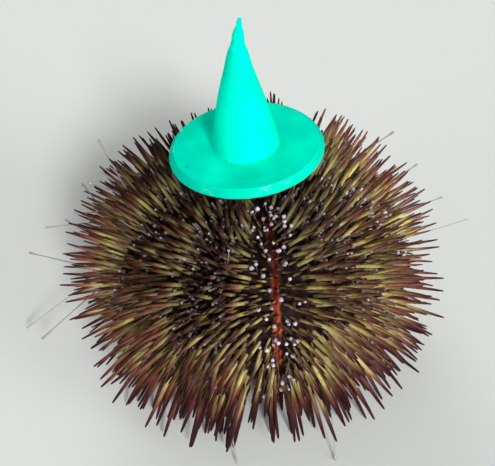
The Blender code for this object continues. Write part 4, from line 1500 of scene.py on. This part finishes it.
class URCHIN_OT_mouth(bpy.types.Operator):
    """Folded skin round the mouth, and five teeth that meet in its middle"""

    bl_idname = "urchin.mouth"
    bl_label = "Mouth"

    def execute(self, context):
        details = context.scene.urchin_details
        outline = Outline(context.scene.urchin_shell)
        self.make_skin(outline, details)
        self.make_teeth(details)
        return {"FINISHED"}

    def make_skin(self, outline, details):
        """A ring that dips towards the teeth, with radial folds and rounded lips."""
        columns = 180
        azimuths = np.linspace(0.0, 2 * math.pi, columns, endpoint=False)
        level = outward(azimuths)
        outer, inner = MOUTH_RADIUS - GAP, TEETH_RADIUS + GAP
        low = float(outline.ring(outline.mouth_arc)[1])
        top = MOUTH_SEAT_HEIGHT - GAP
        turned = azimuths - FRONT_MIDLINE
        folds = 0.5 + 0.5 * np.cos(8 * BANDS * turned) * np.cos(BANDS * turned) ** 2
        rings = [level * (outer - 0.2 * MM) + UP * top, level * outer + UP * (low + 0.5 * MM)]
        grooves = [folds, folds]
        for share in np.linspace(0.0, 1.0, 26):
            radius = outer + (inner - outer) * (0.03 + 0.94 * share)
            dip = low + MM * share**1.5 + 0.05 * MM * math.cos(share * 12 * math.pi)
            lip = 0.35 * MM * max(0.0, (share - 0.85) / 0.15) ** 2
            groove = folds * (0.3 + 0.7 * share)
            ring = level * radius + UP * (dip + lip) + UP * (0.35 * MM * groove * share)[:, None]
            puckers = [noise.noise(Vector(point) / (1.3 * MM)) for point in ring]
            pucker_height = 0.4 * MM * math.sin(math.pi * share)
            rings.append(ring + UP * (pucker_height * np.array(puckers))[:, None])
            grooves.append(groove)
        rings += [level * inner + UP * (low + 1.9 * MM), level * inner + UP * top]
        grooves += [folds, folds]
        mesh = ring_mesh("mouth_skin", rings, plate_material("mouth_skin", details.mouth_colour, "groove"))
        add_values(mesh, "groove", np.concatenate(grooves))
        new_piece("mouth_skin", mesh, ["peristome"])

    def make_teeth(self, details):
        """Each tooth is a keeled blade, lofted from its root down to a chisel tip near the middle."""
        top = MOUTH_SEAT_HEIGHT - GAP
        # Share of the way down, then distance from the axis, half width and depth in millimetres
        stations = (
            (0.0, 2.2, 0.62, 0.62),
            (0.35, 2.12, 0.62, 0.6),
            (0.6, 1.7, 0.56, 0.52),
            (0.8, 1.15, 0.46, 0.4),
            (0.93, 0.68, 0.32, 0.26),
            (1.0, 0.42, 0.2, 0.12),
        )
        # Cross-section of a tooth: across, and out from the axis
        section = (
            (-1.0, 0.35),
            (-0.8, 0.85),
            (0.0, 1.0),
            (0.8, 0.85),
            (1.0, 0.35),
            (0.3, 0.0),
            (0.16, -0.9),
            (-0.16, -0.9),
            (-0.3, 0.0),
        )
        points, faces = [], []
        for middle in INTERAMBULACRUM_MIDLINES:
            out = outward(np.array([middle]))[0]
            beside = np.cross(UP, out)
            start = len(points)
            for share, distance, half_width, depth in stations:
                centre = out * distance * MM + UP * (top + (TEETH_TIP_HEIGHT - top) * share)
                for across, forth in section:
                    points.append(centre + beside * across * half_width * MM + out * forth * depth * MM)
            size = len(section)
            for row in range(len(stations) - 1):
                near, far = start + row * size, start + (row + 1) * size
                for k in range(size):
                    after = (k + 1) % size
                    faces.append((near + k, near + after, far + after, far + k))
            faces.append(tuple(start + k for k in reversed(range(size))))
            faces.append(tuple(start + (len(stations) - 1) * size + k for k in range(size)))
        mesh = bpy.data.meshes.new("mouth_teeth")
        mesh.from_pydata([tuple(point) for point in points], [], faces)
        self.face_outwards(mesh)
        mesh.materials.append(tooth_material(details.tooth_colour))
        new_piece("mouth_teeth", mesh, ["teeth"])

    def face_outwards(self, mesh):
        work = bmesh.new()
        work.from_mesh(mesh)
        bmesh.ops.recalc_face_normals(work, faces=work.faces[:])
        work.to_mesh(mesh)
        work.free()


class URCHIN_OT_hat(bpy.types.Operator):
    """A small printed witch hat: flat brim, layered rim and a cone with a rough bent tip"""

    bl_idname = "urchin.hat"
    bl_label = "Witch hat"

    def execute(self, context):
        hat = context.scene.urchin_hat
        rows = np.array(self.brim_outline(hat) + self.cone_outline(hat))
        rise = np.clip((rows[:, 1] - hat.brim_thickness) / hat.cone_height, 0.0, 1.0)
        zeros = np.zeros(len(rows))
        attributes = {
            "place": np.column_stack([rows[:, 0], zeros, rows[:, 1]]),
            "extra": np.column_stack([hat.tip_bend * rise**TIP_BEND_POWER, rows[:, 2], zeros]),
        }
        inputs = {"Sides": hat.sides, "Stations": len(rows), "Material": hat_material(hat)}
        mesh = grown("witch_hat_print", turned_tree(), attributes["place"], attributes, inputs)
        mesh.transform(hat_frame())
        new_piece("witch_hat_print", mesh, ["witch_hat"])
        return {"FINISHED"}

    def brim_outline(self, hat):
        """Radius, height and lumpiness from the middle of the underside round the rim and in to the cone."""
        thick = hat.brim_thickness
        rows = [(0.0, 0.0, 0.0), (0.5 * BRIM_RADIUS, 0.0, 0.0), (BRIM_RADIUS - 0.3 * MM, 0.0, 0.02 * MM)]
        for layer in range(RIM_LAYERS):
            share = (layer + 0.5) / RIM_LAYERS
            # The rim rounds over towards the flat top
            radius = BRIM_RADIUS + (hat.brim_top_radius - BRIM_RADIUS) * share**2.6
            for lift, swell in ((-0.42, 0.0), (-0.2, 1.0), (0.2, 1.0), (0.42, 0.0)):
                height = thick * (share + lift / RIM_LAYERS)
                rows.append((radius + (swell - 0.7) * 0.04 * MM, height, 0.16 * MM))
        lines = round((hat.brim_top_radius - hat.cone_radius) / (0.42 * MM))
        outer_lines = 5
        for line in range(lines):
            share = (line + 0.5) / lines
            middle = hat.brim_top_radius + (hat.cone_radius - hat.brim_top_radius) * share
            sink = (0.045 if line < outer_lines else 0.012) * MM
            for step, depth in ((0.16, 1.0), (0.0, 0.0), (-0.16, 1.0)):
                rows.append((middle + step * MM, thick - sink * depth, 0.03 * MM))
        return rows

    def cone_outline(self, hat):
        """The same up the layers of the cone, which bulges low down and is rough near its tip."""
        rows = []
        layers = round(hat.cone_height / hat.layer)
        for layer in range(layers):
            for part in (0.15, 0.5, 0.85):
                share = (layer + part) / layers
                bulge = 0.3 * MM * math.sin(math.pi * min(1.0, share / 0.62))
                waist = 0.2 * MM * math.exp(-(((share - 0.82) / 0.05) ** 2))
                radius = hat.cone_radius * (1.0 - share) ** CONE_POWER + 0.38 * MM * share + bulge - waist
                groove = 0.0 if part == 0.5 else hat.ripple * (0.3 + share)
                rough = 0.04 + 2.6 * max(0.0, share - 0.66) ** 0.9
                rows.append((radius - groove, hat.brim_thickness + hat.cone_height * share, rough * MM))
        top = hat.brim_thickness + hat.cone_height
        return [*rows, (0.22 * MM, top, 0.6 * MM), (0.0, top, 0.0)]


class URCHIN_OT_stage(bpy.types.Operator):
    """Plain pale floor, soft lights and a camera at the photograph's angle"""

    bl_idname = "urchin.stage"
    bl_label = "Stage"

    def execute(self, context):
        stage = context.scene.urchin_stage
        context.scene.view_settings.view_transform = "Standard"
        self.floor(stage)
        self.lights()
        self.camera(context, stage)
        return {"FINISHED"}

    def floor(self, stage):
        reach = 20.0
        corners = [(x * reach, y * reach, 0.0) for x, y in ((-1, -1), (1, -1), (1, 1), (-1, 1))]
        mesh = bpy.data.meshes.new("floor")
        mesh.from_pydata(corners, [], [(0, 1, 2, 3)])
        material, _, shader = new_material("floor")
        shader.inputs["Base Color"].default_value = opaque(stage.floor_colour)
        shader.inputs["Roughness"].default_value = 1.0
        shader.inputs["Specular IOR Level"].default_value = 0.0
        mesh.materials.append(material)
        floor = bpy.data.objects.new("floor", mesh)
        bpy.context.scene.collection.objects.link(floor)

    def lights(self):
        """Soft far-off lights: direction from the model, apparent width and strength of each."""
        for name, way, width, strength in (
            ("key", (0.28, -0.84, 0.49), 13.0, 3.7),
            ("right", (0.81, -0.53, 0.25), 35.0, 2.1),
            ("fill", (-0.82, -0.56, 0.1), 37.0, 1.1),
            ("back", (-0.35, 0.9, 0.28), 41.0, 2.3),
        ):
            light = bpy.data.lights.new(name, "SUN")
            light.angle = math.radians(width)
            light.energy = strength
            lamp = bpy.data.objects.new(name, light)
            lamp.location = Vector(way)
            lamp.rotation_euler = Vector(way).to_track_quat("Z", "Y").to_euler()
            bpy.context.scene.collection.objects.link(lamp)
        world = bpy.context.scene.world or bpy.data.worlds.new("world")
        bpy.context.scene.world = world
        world.use_nodes = True
        nodes = Nodes(world.node_tree)
        background = world.node_tree.nodes["Background"]
        nodes.feed(background.inputs["Color"], (0.97, 0.98, 0.95, 1.0))
        # Seen straight on, the sky is as pale as the floor, so no horizon shows
        seen = nodes.add("ShaderNodeLightPath").outputs["Is Camera Ray"]
        nodes.feed(background.inputs["Strength"], nodes.straight(seen, 0.25, 0.76))

    def camera(self, context, stage):
        """Looks at the shell's middle from the photograph's angle, then turns to put it on its pixel."""
        frame_width, frame_height, sensor = 495.0, 466.0, 36.0
        data = bpy.data.cameras.new("camera")
        data.sensor_width = sensor
        data.sensor_fit = "HORIZONTAL"
        data.lens = stage.focal_pixels / frame_width * sensor
        data.clip_start = 0.01
        camera = bpy.data.objects.new("camera", data)
        middle = Vector((0.0, 0.0, context.scene.urchin_shell.ambitus_height))
        back = Vector((0.0, -math.cos(stage.elevation), math.sin(stage.elevation)))
        camera.location = middle + back * stage.distance
        level = back.to_track_quat("Z", "Y")
        turn_x = math.atan((stage.centre_y - frame_height / 2) / stage.focal_pixels)
        turn_y = math.atan((stage.centre_x - frame_width / 2) / stage.focal_pixels)
        aim = level.to_matrix() @ Matrix.Rotation(turn_y, 3, "Y") @ Matrix.Rotation(turn_x, 3, "X")
        camera.rotation_euler = aim.to_euler()
        bpy.context.scene.collection.objects.link(camera)
        bpy.context.scene.camera = camera


class URCHIN_PT_panel(bpy.types.Panel):
    """Lists the sizes and colours, and a button for each piece"""

    bl_idname = "URCHIN_PT_panel"
    bl_label = "Sea urchin"
    bl_space_type = "VIEW_3D"
    bl_region_type = "UI"
    bl_category = "Urchin"

    def draw(self, context):
        for name, _ in SETTINGS:
            box = self.layout.box()
            group = getattr(context.scene, name)
            for key in group.bl_rna.properties.keys():
                if key not in ("rna_type", "name"):
                    box.prop(group, key)
        for operator in PIECES:
            self.layout.operator(operator.bl_idname)


SETTINGS = (
    ("urchin_shell", UrchinShell),
    ("urchin_spines", UrchinSpines),
    ("urchin_details", UrchinDetails),
    ("urchin_hat", UrchinHat),
    ("urchin_stage", UrchinStage),
)
PIECES = (
    URCHIN_OT_skin,
    URCHIN_OT_spines,
    URCHIN_OT_pedicellariae,
    URCHIN_OT_tube_feet,
    URCHIN_OT_apical_plates,
    URCHIN_OT_mouth,
    URCHIN_OT_hat,
    URCHIN_OT_stage,
)


def register():
    for name, group in SETTINGS:
        bpy.utils.register_class(group)
        setattr(bpy.types.Scene, name, PointerProperty(type=group))
    for piece in (*PIECES, URCHIN_PT_panel):
        bpy.utils.register_class(piece)


def unregister():
    for piece in reversed((*PIECES, URCHIN_PT_panel)):
        bpy.utils.unregister_class(piece)
    for name, group in reversed(SETTINGS):
        delattr(bpy.types.Scene, name)
        bpy.utils.unregister_class(group)


def main():
    register()
    bpy.ops.urchin.skin()
    bpy.ops.urchin.spines()
    bpy.ops.urchin.pedicellariae()
    bpy.ops.urchin.tube_feet()
    bpy.ops.urchin.apical_plates()
    bpy.ops.urchin.mouth()
    bpy.ops.urchin.hat()
    bpy.ops.urchin.stage()


if __name__ == "__main__":
    main()
